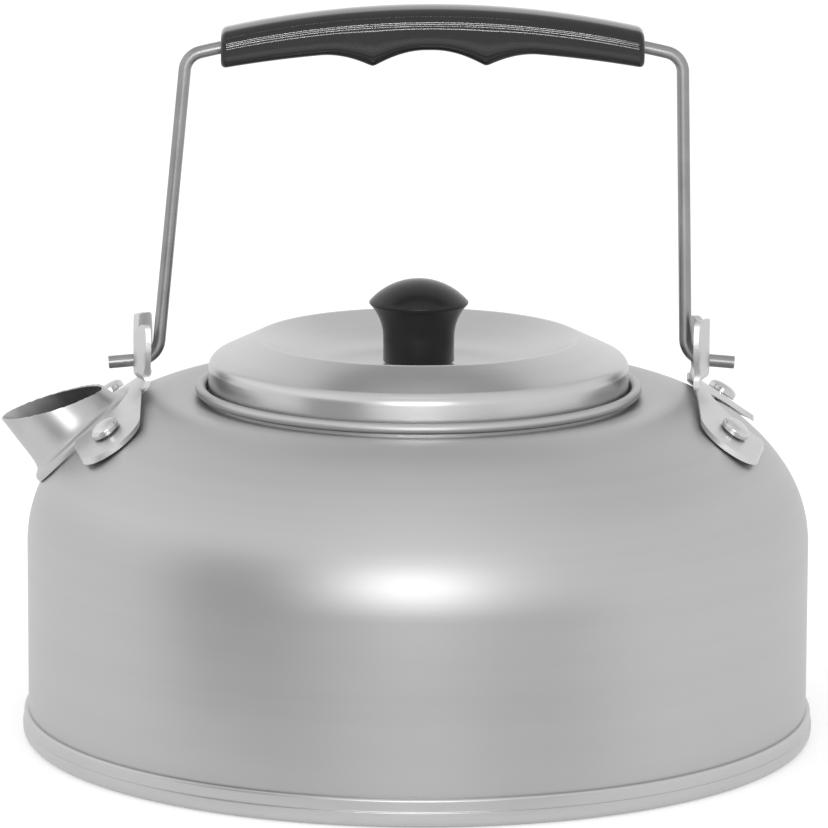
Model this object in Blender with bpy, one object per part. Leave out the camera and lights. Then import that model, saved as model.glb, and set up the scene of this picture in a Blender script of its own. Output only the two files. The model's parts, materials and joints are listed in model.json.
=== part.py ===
# A small camp kettle: pressed aluminium body with a folded base pan, short slanted spout, dished lid
# with a screwed knob, and a wire bail with a moulded grip that turns in two riveted brackets.
# Metres. The spout points to -X, the front is -Y, and z = 0 is the table under the flat base.

import math

import bmesh
import bpy
from mathutils import Matrix, Vector

# Clearance between touching pieces, and around pins and shanks
GAP = 0.0003

# Body shell
BODY_RADIUS = 0.0748
BODY_SHEET = 0.0010
WALL_TOP = 0.0380
SHOULDER_RADIUS = 0.0248
SHOULDER_TURN = 34.1
CROWN_RADIUS = 0.0357
CROWN_TURN = 38.0
BROW_RADIUS = 0.0120
BROW_TURN = 26.0
BEAD_RADIUS = 0.0010
COLLAR_HEIGHT = 0.0027
COLLAR_SHEET = 0.0012
LEDGE_WIDTH = 0.0022
NECK_RUN = 0.0048

# Base pan, folded up round the foot of the shell
PAN_SHEET = 0.0008
PAN_CORNER = 0.0020
PAN_HEIGHT = 0.0063
PAN_GROOVE_RADIUS = 0.0525
PAN_GROOVE_WIDTH = 0.0030
PAN_GROOVE_DEPTH = 0.0006

# Lid
LID_PLAY = 0.0005
LID_SHEET = 0.0009
LID_WALL_HEIGHT = 0.0053
LID_SKIRT_DEPTH = 0.0050
LID_STEP = 0.0022
LID_STEP_CURVE = 0.0012
LID_SHOULDER_RADIUS = 0.0025
LID_SLOPE = 25.5
LID_SLOPE_LENGTH = 0.0084
LID_CREST_RADIUS = 0.0013
DISH_SLOPE = 30.0
DISH_SLOPE_LENGTH = 0.0032
DISH_RADIUS = 0.0260

# Knob, with its thread insert, screw and washer
KNOB_HEIGHT = 0.0160
KNOB_RIM_RADIUS = 0.00945
KNOB_STEM_RADIUS = 0.0068
KNOB_STEM_HEIGHT = 0.0047
KNOB_FLARE_RADIUS = 0.0097
KNOB_RIM_HEIGHT = 0.0003
INSERT_RADIUS = 0.0032
INSERT_LENGTH = 0.0084
SCREW_RADIUS = 0.0020
SCREW_GRIP = 0.0070
SCREW_HEAD_RADIUS = 0.0038
SCREW_HEAD_HEIGHT = 0.0020
WASHER_RADIUS = 0.0050
WASHER_SHEET = 0.0008

# Spout: sizes along its own axis start where that axis leaves the crown
SPOUT_TILT = 45.0
SPOUT_SEAT_SLOPE = 42.0
SPOUT_BASE_RADIUS = 0.0098
SPOUT_MOUTH_RADIUS = 0.0079
SPOUT_TAPER_START = 0.0030
SPOUT_TAPER_END = 0.0088
SPOUT_SHEET = 0.0008
SPOUT_MOUTH_HEIGHT = 0.0085
SPOUT_MOUTH_CUT = 29.6
SPOUT_FLANGE_RADIUS = 0.0115
SPOUT_FLANGE_SHEET = 0.0008

# Brackets: a foot of two riveted legs on the crown, and an ear with a pressed channel
BRACKET_SHEET = 0.0010
FOOT_SLOPE = 34.7
FOOT_ANGLE = 33.0
FOOT_BACK_SETBACK = 0.0086
FOOT_BACK_CORNER = 0.0054
FOOT_HALF_WIDTH = 0.0273
FOOT_FRONT_REACH = 0.0014
FOOT_FRONT_CORNER = 0.0048
FOOT_TIP_REACH = 0.0041
FOOT_TIP_CORNER = 0.0008
NOTCH_CLEARANCE = 0.0009
NOTCH_SETBACK = 0.0061
EAR_SETBACK = 0.0089
EAR_OFFSET = 0.0006
EAR_BEND_RADIUS = 0.0018
EAR_HALF_WIDTH = 0.0071
EAR_WIDEST_RISE = 0.0034
EAR_TIP_HALF_WIDTH = 0.0056
EAR_NECK_HALF_WIDTH = 0.0050
EAR_TOP_RISE = 0.0084
EAR_TOP_SLANT = 0.0040
CHANNEL_DEPTH = 0.0021
CHANNEL_FLOOR = 0.0019
CHANNEL_HALF_WIDTH = 0.0063
CHANNEL_FOOT_DROP = 0.0036
CHANNEL_RUN_OUT = 0.0016
PIVOT_RISE = 0.01135

# Rivets
RIVET_SPREAD = 0.0190
RIVET_SHANK_RADIUS = 0.0016
RIVET_HEAD_RADIUS = 0.00285
RIVET_HEAD_HEIGHT = 0.0019
RIVET_TAIL_RADIUS = 0.0026
RIVET_TAIL_HEIGHT = 0.0012

# Bail: wire and grip
WIRE_RADIUS = 0.0012
PIN_REACH = 0.0047
PIN_DROOP = 5.0
BAIL_REACH = 0.0643
LEG_LEAN = 3.03
PIN_BEND_RADIUS = 0.0042
TOP_BEND_RADIUS = 0.0039
BAIL_ARC_RADIUS = 0.1950
BAIL_SHIFT = 0.0028
GRIP_SHIFT = -0.00045
GRIP_END_MARGIN = 0.00675
GRIP_DEPTH = 0.0126
GRIP_ABOVE_WIRE = 0.0036
GRIP_BELOW_WIRE = 0.0041
GRIP_TOP_THINNING = 0.0003
GRIP_UNDER_THINNING = 0.0007
GRIP_TOP_ROUND = 0.0028
GRIP_UNDER_ROUND = 0.0018
GRIP_CROWN = 0.0004
GRIP_END_ROUND = 0.0011
RIDGE_SHIFT = -0.0006
RIDGE_SPACING = 0.02135
RIDGE_HEIGHT = 0.00275
RIDGE_FLANK = 0.0075

# Facets
TURNED_STEPS = 48
LID_STEPS = 32
SPOUT_STEPS = 24
KNOB_STEPS = 24
SMALL_STEPS = 14

# Places worked out from the sizes above
BODY_FOOT = PAN_CORNER + GAP
BODY_OUTSIDE = BODY_RADIUS + GAP + PAN_SHEET
HOLE_RADIUS = SCREW_RADIUS + GAP
WIRE_HOLE_RADIUS = WIRE_RADIUS + GAP


def clear_scene():
    for item in list(bpy.data.objects):
        bpy.data.objects.remove(item, do_unlink=True)


def trace(start, heading, moves):
    # A path of straights and arcs in (radius, height). A straight is (length,), an arc is
    # (radius, turn in degrees, steps), and a turn to the left is positive.
    points = [Vector(start)]
    angle = math.radians(heading)
    for move in moves:
        if len(move) == 1:
            points.append(points[-1] + move[0] * Vector((math.cos(angle), math.sin(angle))))
            continue
        radius, turn, steps = move
        side = math.copysign(1.0, turn)
        centre = points[-1] + side * radius * Vector((-math.sin(angle), math.cos(angle)))
        for step in range(1, steps + 1):
            now = angle + math.radians(turn) * step / steps
            points.append(centre - side * radius * Vector((-math.sin(now), math.cos(now))))
        angle += math.radians(turn)
    return points


def offset(path, distance):
    # The same path moved to its left by a distance, with mitred corners.
    moved = []
    for index, point in enumerate(path):
        before = path[max(index - 1, 0)]
        after = path[min(index + 1, len(path) - 1)]
        into = (point - before).normalized() if index else (after - point).normalized()
        out = (after - point).normalized() if after != point else into
        left = Vector((-into.y - out.y, into.x + out.x)).normalized()
        stretch = left.dot(Vector((-into.y, into.x)))
        moved.append(point + left * distance / stretch)
    return moved


def height_at(path, radius):
    # Height of a path, which runs inwards, at a radius.
    for outer, inner in zip(path, path[1:]):
        if inner.x <= radius <= outer.x and outer.x > inner.x:
            share = (outer.x - radius) / (outer.x - inner.x)
            return outer.y + share * (inner.y - outer.y)
    return path[-1].y if radius < path[-1].x else path[0].y


def body_outline():
    # Outer side of the shell, from its foot over shoulder and crown to the neck.
    path = trace((BODY_RADIUS, BODY_FOOT), 90, [
        (WALL_TOP - BODY_FOOT,),
        (SHOULDER_RADIUS, SHOULDER_TURN, 4),
        (CROWN_RADIUS, CROWN_TURN, 5),
        (BROW_RADIUS, BROW_TURN, 2),
        (NECK_RUN,),
    ])
    return path


BODY_PATH = body_outline()
NECK_LEVEL = BODY_PATH[-1].y
COLLAR_RADIUS = BODY_PATH[-1].x - COLLAR_SHEET
LEDGE_RADIUS = COLLAR_RADIUS - LEDGE_WIDTH
LID_RADIUS = COLLAR_RADIUS - LID_PLAY
SKIRT_RADIUS = LEDGE_RADIUS - LID_PLAY
LID_SEAT = NECK_LEVEL + GAP


def crown_point(slope):
    # Point of the crown whose surface falls outwards at a slope, as (radius, height).
    turn = math.radians(SHOULDER_TURN)
    step = CROWN_RADIUS - SHOULDER_RADIUS
    centre = Vector((BODY_RADIUS - SHOULDER_RADIUS - step * math.cos(turn), WALL_TOP - step * math.sin(turn)))
    angle = math.radians(slope)
    return centre + CROWN_RADIUS * Vector((math.sin(angle), math.cos(angle)))


FOOT_POINT = crown_point(FOOT_SLOPE)
EAR_RADIUS = FOOT_POINT.x - EAR_SETBACK
PIVOT_HEIGHT = FOOT_POINT.y + PIVOT_RISE
EAR_INSIDE = EAR_RADIUS - BRACKET_SHEET / 2
EAR_OUTSIDE = EAR_RADIUS + CHANNEL_DEPTH + BRACKET_SHEET / 2
LEG_SPREAD = EAR_INSIDE - GAP - WIRE_RADIUS
PIN_TIP = EAR_OUTSIDE + PIN_REACH
BAIL_SHOULDER = LEG_SPREAD - BAIL_REACH * math.tan(math.radians(LEG_LEAN))
GRIP_HALF_LENGTH = BAIL_SHOULDER - GRIP_END_MARGIN


def material(name, colour, roughness, metallic):
    made = bpy.data.materials.new(name)
    made.use_nodes = True
    shader = made.node_tree.nodes["Principled BSDF"]
    shader.inputs["Base Color"].default_value = (*colour, 1.0)
    shader.inputs["Roughness"].default_value = roughness
    shader.inputs["Metallic"].default_value = metallic
    made.diffuse_color = (*colour, 1.0)
    return made


def add_object(name, mesh, look, place=(0.0, 0.0, 0.0)):
    item = bpy.data.objects.new(name, mesh)
    bpy.context.scene.collection.objects.link(item)
    item.location = place
    if look is not None:
        mesh.materials.clear()
        mesh.materials.append(look)
        mesh.shade_smooth()
        mesh.set_sharp_from_angle(angle=math.radians(32))
    return item


def finish_mesh(shape, name):
    bmesh.ops.remove_doubles(shape, verts=shape.verts, dist=0.000001)
    bmesh.ops.dissolve_degenerate(shape, dist=0.000001, edges=shape.edges)
    bmesh.ops.recalc_face_normals(shape, faces=shape.faces)
    mesh = bpy.data.meshes.new(name)
    shape.to_mesh(mesh)
    shape.free()
    return mesh


def turned(name, section, steps):
    # Solid of revolution round Z from a closed section of (radius, height) points.
    shape = bmesh.new()
    corners = [shape.verts.new((point[0], 0.0, point[1])) for point in section]
    edges = [shape.edges.new((a, b)) for a, b in zip(corners, corners[1:] + corners[:1])]
    bmesh.ops.spin(shape, geom=corners + edges, cent=(0, 0, 0), axis=(0, 0, 1),
                   angle=math.tau, steps=steps, use_merge=True)
    return finish_mesh(shape, name)


def cylinder(name, radius, low, high, frame, steps=SMALL_STEPS):
    # Straight cutter along the Z axis of a frame.
    shape = bmesh.new()
    bmesh.ops.create_cone(shape, cap_ends=True, segments=steps, radius1=radius, radius2=radius, depth=high - low)
    bmesh.ops.translate(shape, verts=shape.verts, vec=(0, 0, (low + high) / 2))
    bmesh.ops.transform(shape, verts=shape.verts, matrix=frame)
    return hide(add_object(name, finish_mesh(shape, name), None))


def prism(name, outline, low, high, frame):
    # Cutter with a flat outline, in the XY plane of a frame, raised from low to high.
    shape = bmesh.new()
    face = shape.faces.new([shape.verts.new((x, y, low)) for x, y in outline])
    raised = bmesh.ops.extrude_face_region(shape, geom=[face])
    tops = [part for part in raised["geom"] if isinstance(part, bmesh.types.BMVert)]
    bmesh.ops.translate(shape, verts=tops, vec=(0, 0, high - low))
    bmesh.ops.transform(shape, verts=shape.verts, matrix=frame)
    return hide(add_object(name, finish_mesh(shape, name), None))


def hide(item):
    item.hide_render = True
    item.display_type = "WIRE"
    return item


def cut(item, cutter, operation="DIFFERENCE"):
    step = item.modifiers.new(cutter.name, "BOOLEAN")
    step.operation = operation
    step.solver = "EXACT"
    step.object = cutter


def round_corners(corners, steps):
    # Points of a line whose corners carry a radius: each corner is (point, radius).
    points = []
    for index, (point, radius) in enumerate(corners):
        if radius == 0:
            points.append(point)
            continue
        into = (corners[index - 1][0] - point).normalized()
        out = (corners[(index + 1) % len(corners)][0] - point).normalized()
        half = into.angle(out) / 2
        centre = point + (into + out).normalized() * radius / math.sin(half)
        start = (point + into * radius / math.tan(half) - centre).normalized()
        end = (point + out * radius / math.tan(half) - centre).normalized()
        points += [centre + radius * start.slerp(end, step / steps) for step in range(steps + 1)]
    return points


# Body shell

def rivet_frame(side, front):
    # Z of the frame is the crown's outward normal at a rivet, with its origin on the crown.
    swing = math.asin(RIVET_SPREAD / FOOT_POINT.x)
    angle = (0.0 if side > 0 else math.pi) - side * front * swing
    turn = Matrix.Rotation(angle, 4, "Z")
    tilt = Matrix.Rotation(math.radians(FOOT_SLOPE), 4, "Y")
    return turn @ Matrix.Translation((FOOT_POINT.x, 0, FOOT_POINT.y)) @ tilt


def spout_frame():
    # Z of the frame is the spout's axis and X points down and out, with its origin on the crown.
    seat = crown_point(SPOUT_SEAT_SLOPE)
    turn = Matrix.Rotation(math.pi, 4, "Z")
    tilt = Matrix.Rotation(math.radians(SPOUT_TILT), 4, "Y")
    return turn @ Matrix.Translation((seat.x, 0, seat.y)) @ tilt


def bead_section():
    # Up the neck, round the folded bead and down inside the collar to the ledge.
    middle = Vector((COLLAR_RADIUS + BEAD_RADIUS, NECK_LEVEL + COLLAR_HEIGHT - BEAD_RADIUS))
    start = -math.acos(min((COLLAR_SHEET - BEAD_RADIUS) / BEAD_RADIUS, 1.0))
    steps = 5
    turns = [start + (math.pi - start) * step / steps for step in range(steps + 1)]
    round_part = [middle + BEAD_RADIUS * Vector((math.cos(turn), math.sin(turn))) for turn in turns]
    return round_part + [
        Vector((COLLAR_RADIUS, NECK_LEVEL)),
        Vector((LEDGE_RADIUS, NECK_LEVEL)),
        Vector((LEDGE_RADIUS, NECK_LEVEL - BODY_SHEET)),
    ]


def body_shell(look):
    inside = offset(BODY_PATH, BODY_SHEET)
    section = BODY_PATH + bead_section() + inside[::-1]
    shell = add_object("body_shell", turned("body_shell", section, TURNED_STEPS), look)
    depth = 3 * SPOUT_BASE_RADIUS
    cut(shell, cylinder("spout_hole", SPOUT_BASE_RADIUS + GAP, -depth, depth, spout_frame(), SPOUT_STEPS))
    for side in (1, -1):
        for front in (1, -1):
            name = f"shell_rivet_hole_{side}_{front}"
            reach = 4 * BODY_SHEET
            cut(shell, cylinder(name, RIVET_SHANK_RADIUS + GAP, -reach, reach, rivet_frame(side, front)))
    return shell


def base_pan(look):
    inner = PAN_GROOVE_RADIUS - PAN_GROOVE_WIDTH / 2
    slant = PAN_GROOVE_DEPTH
    under = [Vector((0, 0)), Vector((inner, 0)), Vector((inner + slant, PAN_GROOVE_DEPTH)),
             Vector((inner + PAN_GROOVE_WIDTH - slant, PAN_GROOVE_DEPTH)), Vector((inner + PAN_GROOVE_WIDTH, 0))]
    rim = trace((BODY_OUTSIDE - PAN_CORNER, 0), 0, [
        (PAN_CORNER, 90, 3),
        (PAN_HEIGHT - PAN_CORNER - PAN_SHEET / 2,),
        (PAN_SHEET / 2, 60, 2),
    ])
    outside = under + rim
    inside = [Vector((point.x, point.y + PAN_SHEET)) for point in under]
    well = trace((BODY_OUTSIDE - PAN_CORNER, PAN_SHEET), 0, [(PAN_CORNER - PAN_SHEET, 90, 2)])
    lip = Vector((BODY_OUTSIDE - PAN_SHEET, PAN_HEIGHT))
    section = outside + [lip] + well[::-1] + inside[::-1]
    return add_object("base_pan", turned("base_pan", section, TURNED_STEPS), look)


# Lid and knob

def lid_outline():
    # Upper and outer side of the lid sheet, from the foot of the skirt to the hole in the dish.
    path = trace((SKIRT_RADIUS, LID_SEAT - LID_SKIRT_DEPTH), 90, [
        (LID_SKIRT_DEPTH - GAP,),
        (GAP, -90, 1),
        (LID_RADIUS - SKIRT_RADIUS - GAP - LID_STEP_CURVE,),
        (LID_STEP_CURVE, 90, 2),
        (LID_WALL_HEIGHT - LID_STEP_CURVE,),
        (LID_SHOULDER_RADIUS, 90 - LID_SLOPE, 3),
        (LID_SLOPE_LENGTH,),
        (LID_CREST_RADIUS, LID_SLOPE + DISH_SLOPE, 3),
        (DISH_SLOPE_LENGTH,),
        (DISH_RADIUS, -DISH_SLOPE, 3),
    ])
    path.append(Vector((HOLE_RADIUS, path[-1].y)))
    return path


LID_PATH = lid_outline()
DISH_LEVEL = LID_PATH[-1].y
LID_UNDERSIDE = DISH_LEVEL - LID_SHEET
WASHER_TOP = LID_UNDERSIDE - GAP
HEAD_TOP = WASHER_TOP - WASHER_SHEET - GAP
KNOB_SEAT = DISH_LEVEL + GAP


def lid_shell(look):
    section = LID_PATH + offset(LID_PATH, LID_SHEET)[::-1]
    return add_object("lid_shell", turned("lid_shell", section, LID_STEPS), look)


def lid_knob(look):
    spread = KNOB_RIM_RADIUS - KNOB_STEM_RADIUS
    flare_turn = math.degrees(math.acos(1 - spread / KNOB_FLARE_RADIUS))
    side = trace((KNOB_STEM_RADIUS - GAP, KNOB_SEAT), 45, [
        (GAP * math.sqrt(2),),
    ]) + trace((KNOB_STEM_RADIUS, KNOB_SEAT + KNOB_STEM_HEIGHT), 90, [
        (KNOB_FLARE_RADIUS, -flare_turn, 5),
    ])
    rim = Vector((KNOB_RIM_RADIUS, side[-1].y + KNOB_RIM_HEIGHT))
    rise = KNOB_SEAT + KNOB_HEIGHT - rim.y
    dome_radius = (rim.x ** 2 + rise ** 2) / (2 * rise)
    dome_turn = math.asin(rim.x / dome_radius)
    steps = 6
    dome = []
    for step in range(steps + 1):
        angle = dome_turn * (1 - step / steps)
        drop = dome_radius * (1 - math.cos(angle))
        dome.append(Vector((dome_radius * math.sin(angle), KNOB_SEAT + KNOB_HEIGHT - drop)))
    socket = INSERT_RADIUS + GAP
    socket_top = KNOB_SEAT + INSERT_LENGTH + GAP
    hollow = [Vector((0, socket_top)), Vector((socket, socket_top)), Vector((socket, KNOB_SEAT))]
    return add_object("lid_knob", turned("lid_knob", side + dome + hollow, KNOB_STEPS), look)


def knob_insert(look):
    low = KNOB_SEAT
    high = KNOB_SEAT + INSERT_LENGTH
    blind = high - SCREW_RADIUS / 2
    section = [Vector((HOLE_RADIUS, low)), Vector((INSERT_RADIUS, low)), Vector((INSERT_RADIUS, high)),
               Vector((0, high)), Vector((0, blind)), Vector((HOLE_RADIUS, blind))]
    return add_object("knob_insert", turned("knob_insert", section, SMALL_STEPS), look)


def knob_screw(look):
    head_low = HEAD_TOP - SCREW_HEAD_HEIGHT
    edge = SCREW_HEAD_HEIGHT / 2
    section = [Vector((0, head_low)), Vector((SCREW_HEAD_RADIUS - edge, head_low)),
               Vector((SCREW_HEAD_RADIUS, head_low + edge)), Vector((SCREW_HEAD_RADIUS, HEAD_TOP)),
               Vector((SCREW_RADIUS, HEAD_TOP)), Vector((SCREW_RADIUS, KNOB_SEAT + SCREW_GRIP - GAP)),
               Vector((SCREW_RADIUS - GAP, KNOB_SEAT + SCREW_GRIP)), Vector((0, KNOB_SEAT + SCREW_GRIP))]
    return add_object("knob_screw", turned("knob_screw", section, SMALL_STEPS), look)


def knob_washer(look):
    low = WASHER_TOP - WASHER_SHEET
    section = [Vector((HOLE_RADIUS, low)), Vector((WASHER_RADIUS, low)),
               Vector((WASHER_RADIUS, WASHER_TOP)), Vector((HOLE_RADIUS, WASHER_TOP))]
    return add_object("knob_washer", turned("knob_washer", section, SMALL_STEPS), look)


# Spout

def rise_to(path, frame, across, along):
    # Height above the frame's XY plane at which a line along the frame's Z meets a turned surface.
    low = -SPOUT_FLANGE_RADIUS
    high = SPOUT_FLANGE_RADIUS
    for _ in range(40):
        middle = (low + high) / 2
        point = frame @ Vector((across, along, middle))
        if point.z > height_at(path, math.hypot(point.x, point.y)):
            high = middle
        else:
            low = middle
    return (low + high) / 2


def spout_radius(height):
    # Outer radius: straight at the base, then a soft taper to the mouth.
    share = (height - SPOUT_TAPER_START) / (SPOUT_TAPER_END - SPOUT_TAPER_START)
    share = min(max(share, 0.0), 1.0)
    blend = share * share * (3 - 2 * share)
    return SPOUT_BASE_RADIUS + blend * (SPOUT_MOUTH_RADIUS - SPOUT_BASE_RADIUS)


def mouth_height(turn):
    # Height of the slanted mouth, where its outer edge crosses the cutting plane.
    height = SPOUT_MOUTH_HEIGHT
    for _ in range(12):
        height = SPOUT_MOUTH_HEIGHT + math.tan(math.radians(SPOUT_MOUTH_CUT)) * spout_radius(height) * math.cos(turn)
    return height


def spout(look):
    frame = spout_frame()
    over = offset(BODY_PATH, -GAP)
    under = offset(BODY_PATH, BODY_SHEET + GAP)
    bore = SPOUT_BASE_RADIUS - SPOUT_SHEET
    flange = SPOUT_FLANGE_SHEET
    tube_steps = 6
    shape = bmesh.new()
    columns = []
    for step in range(SPOUT_STEPS):
        turn = math.tau * step / SPOUT_STEPS
        ring = []

        def seat(path, radius):
            return rise_to(path, frame, radius * math.cos(turn), radius * math.sin(turn))

        crimp = seat(under, SPOUT_FLANGE_RADIUS)
        neck = seat(under, SPOUT_BASE_RADIUS)
        ring.append((bore, neck - flange))
        ring.append((SPOUT_FLANGE_RADIUS, crimp - flange))
        ring.append((SPOUT_FLANGE_RADIUS, crimp))
        ring.append((SPOUT_BASE_RADIUS, neck))
        ring.append((SPOUT_BASE_RADIUS, seat(over, SPOUT_BASE_RADIUS)))
        edge = seat(over, SPOUT_FLANGE_RADIUS)
        ring.append((SPOUT_FLANGE_RADIUS, edge))
        ring.append((SPOUT_FLANGE_RADIUS, edge + flange))
        ring.append(((SPOUT_FLANGE_RADIUS + SPOUT_BASE_RADIUS) / 2, edge + 2 * flange))
        base = max(edge + 2.2 * flange, seat(over, SPOUT_BASE_RADIUS) + flange)
        top = mouth_height(turn)
        heights = [base + (top - base) * count / tube_steps for count in range(tube_steps + 1)]
        ring += [(spout_radius(height), height) for height in heights]
        ring += [(spout_radius(height) - SPOUT_SHEET, height) for height in heights[::-1]]
        ring[-1] = (bore, base)
        columns.append([shape.verts.new(frame @ Vector((radius * math.cos(turn), radius * math.sin(turn), height)))
                        for radius, height in ring])
    for left, right in zip(columns, columns[1:] + columns[:1]):
        for index in range(len(left)):
            after = (index + 1) % len(left)
            shape.faces.new((left[index], left[after], right[after], right[index]))
    return add_object("spout", finish_mesh(shape, "spout"), look)


# Brackets

def bracket_path(ear_radius):
    # Middle of the bracket sheet in (radius, height): up the slope of the foot, round the bend, up the ear.
    slope = math.radians(FOOT_SLOPE)
    normal = Vector((math.sin(slope), math.cos(slope)))
    upslope = Vector((-math.cos(slope), math.sin(slope)))
    on_foot = FOOT_POINT + normal * (GAP + BRACKET_SHEET / 2)
    turn = 90 - FOOT_SLOPE
    corner = on_foot + upslope * (on_foot.x - ear_radius) / math.cos(slope)
    trim = EAR_BEND_RADIUS * math.tan(math.radians(turn) / 2)
    low = on_foot - upslope * 2 * FOOT_BACK_SETBACK
    bend = corner - upslope * trim
    bend_top = corner.y + trim
    ear_top = PIVOT_HEIGHT + EAR_TOP_RISE + BRACKET_SHEET
    channel_foot = PIVOT_HEIGHT - CHANNEL_FOOT_DROP
    path = trace(low, 180 - FOOT_SLOPE, [((bend - low).length,), (EAR_BEND_RADIUS, -turn, 3)])
    levels = [channel_foot, channel_foot + CHANNEL_RUN_OUT, PIVOT_HEIGHT + WIRE_HOLE_RADIUS, ear_top]
    path += [Vector((ear_radius, level)) for level in levels if level > bend_top + GAP]
    return path, channel_foot


def channel_push(across, height, channel_foot):
    # Outward push of the pressed channel: flat floor, sloping flanks, run out at its foot.
    flank = (CHANNEL_HALF_WIDTH - abs(across)) / (CHANNEL_HALF_WIDTH - CHANNEL_FLOOR)
    ramp = (height - channel_foot) / CHANNEL_RUN_OUT
    return CHANNEL_DEPTH * min(max(flank, 0.0), 1.0) * min(max(ramp, 0.0), 1.0)


def bracket_blank(ear_radius):
    # The uncut sheet: a grid over path and angle, thick by the sheet, with the channel pressed in.
    path, channel_foot = bracket_path(ear_radius)
    faces = [offset(path, BRACKET_SHEET / 2), offset(path, -BRACKET_SHEET / 2)]
    flank_middle = (CHANNEL_FLOOR + CHANNEL_HALF_WIDTH) / 2
    ear_angles = [across / ear_radius for across in (CHANNEL_FLOOR, flank_middle, CHANNEL_HALF_WIDTH)]
    foot_steps = 4
    start = ear_angles[-1]
    end = math.radians(FOOT_ANGLE)
    foot_angles = [start + (end - start) * step / foot_steps for step in range(1, foot_steps + 1)]
    half = ear_angles + foot_angles
    angles = [-angle for angle in reversed(half)] + [0.0] + half
    shape = bmesh.new()
    sheets = []
    for face in faces:
        sheet = []
        for angle in angles:
            column = []
            for point in face:
                across = point.x * math.sin(angle)
                out = point.x * math.cos(angle) + channel_push(across, point.y, channel_foot)
                column.append(shape.verts.new((out, across, point.y)))
            sheet.append(column)
        sheets.append(sheet)
    inner, outer = sheets
    for sheet in sheets:
        for left, right in zip(sheet, sheet[1:]):
            for low in range(len(left) - 1):
                shape.faces.new((left[low], left[low + 1], right[low + 1], right[low]))
    edges = [(inner[0], outer[0]), (inner[-1], outer[-1]),
             ([column[0] for column in inner], [column[0] for column in outer]),
             ([column[-1] for column in inner], [column[-1] for column in outer])]
    for inside, outside in edges:
        for low in range(len(inside) - 1):
            shape.faces.new((inside[low], inside[low + 1], outside[low + 1], outside[low]))
    return finish_mesh(shape, "bracket")


def mirrored(half):
    # A closed outline from its half with y > 0, whose first and last points are on the middle line.
    return half + [(x, -y) for x, y in half[-2:0:-1]]


def foot_outline(ear_radius):
    # Plan of the bracket, looking down: ear strip, crescent foot and the notch between its legs.
    back = FOOT_POINT.x - FOOT_BACK_SETBACK
    front = FOOT_POINT.x + FOOT_FRONT_REACH
    tip = FOOT_POINT.x + FOOT_TIP_REACH
    strip = ear_radius - 2 * BRACKET_SHEET
    notch = SPOUT_FLANGE_RADIUS + NOTCH_CLEARANCE
    notch_top = FOOT_POINT.x - NOTCH_SETBACK
    seat = crown_point(SPOUT_SEAT_SLOPE).x
    ear = EAR_HALF_WIDTH + GAP
    corners = [
        (Vector((back, ear)), 0),
        (Vector((back, FOOT_HALF_WIDTH)), FOOT_BACK_CORNER),
        (Vector((front, FOOT_HALF_WIDTH)), FOOT_FRONT_CORNER),
        (Vector((tip, notch)), FOOT_TIP_CORNER),
        (Vector((notch_top, notch)), 0),
    ]
    outside = [(strip, 0), (strip, ear)]
    outside += [(point.x, point.y) for point in round_corners(corners, 4)[:-1]]
    steps = 8
    arch = []
    for step in range(steps + 1):
        angle = math.pi / 2 * step / steps
        arch.append((seat - (seat - notch_top) * math.sin(angle), notch * math.cos(angle)))
    return mirrored(outside + arch)


def ear_outline():
    # Front view of the bracket in (height, across). Above the pivot one half is cut square and the other
    # slants down to the channel; below the neck the outline takes in all of the foot.
    top = PIVOT_HEIGHT + EAR_TOP_RISE
    neck = PIVOT_HEIGHT - CHANNEL_FOOT_DROP
    low = FOOT_POINT.y - 2 * FOOT_BACK_SETBACK
    wide = FOOT_HALF_WIDTH + BRACKET_SHEET
    side = [
        (top, EAR_TIP_HALF_WIDTH),
        (PIVOT_HEIGHT + EAR_WIDEST_RISE, EAR_HALF_WIDTH),
        (neck + BRACKET_SHEET, EAR_NECK_HALF_WIDTH),
        (neck, EAR_NECK_HALF_WIDTH),
        (neck - 0.8 * BRACKET_SHEET, 1.25 * EAR_NECK_HALF_WIDTH),
        (neck - 1.6 * BRACKET_SHEET, wide),
        (low, wide),
    ]
    slanted = [(top - EAR_TOP_SLANT, CHANNEL_FLOOR / 2)] + side
    square = [(height, -across) for height, across in [(top, CHANNEL_FLOOR)] + side]
    return slanted + square[::-1]


def brackets(look):
    # The two ears stand a little towards +X of their mirrored places, as the bail pulls them.
    side_on = Matrix(((0, 0, 1, 0), (0, 1, 0, 0), (1, 0, 0, 0), (0, 0, 0, 1)))
    across = Matrix.Translation((0, 0, PIVOT_HEIGHT)) @ Matrix.Rotation(math.pi / 2, 4, "Y")
    names = {1: "right_bracket", -1: "left_bracket"}
    for side, name in names.items():
        turn = Matrix.Diagonal((side, side, 1, 1))
        ear_radius = EAR_RADIUS + side * EAR_OFFSET
        mesh = bracket_blank(ear_radius)
        mesh.transform(turn)
        item = add_object(name, mesh, look)
        top = PIVOT_HEIGHT + 2 * EAR_TOP_RISE
        cut(item, prism(name + "_plan", foot_outline(ear_radius), 0.0, top, turn), "INTERSECT")
        cut(item, prism(name + "_front", ear_outline(), 0.0, 2 * EAR_RADIUS, turn @ side_on), "INTERSECT")
        cut(item, cylinder(name + "_pin_hole", WIRE_HOLE_RADIUS, 0.0, 2 * EAR_RADIUS, turn @ across))
        for front in (1, -1):
            hole = f"{name}_rivet_hole_{front}"
            reach = 4 * BRACKET_SHEET
            cut(item, cylinder(hole, RIVET_SHANK_RADIUS + GAP, -reach, reach, rivet_frame(side, front)))


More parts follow.
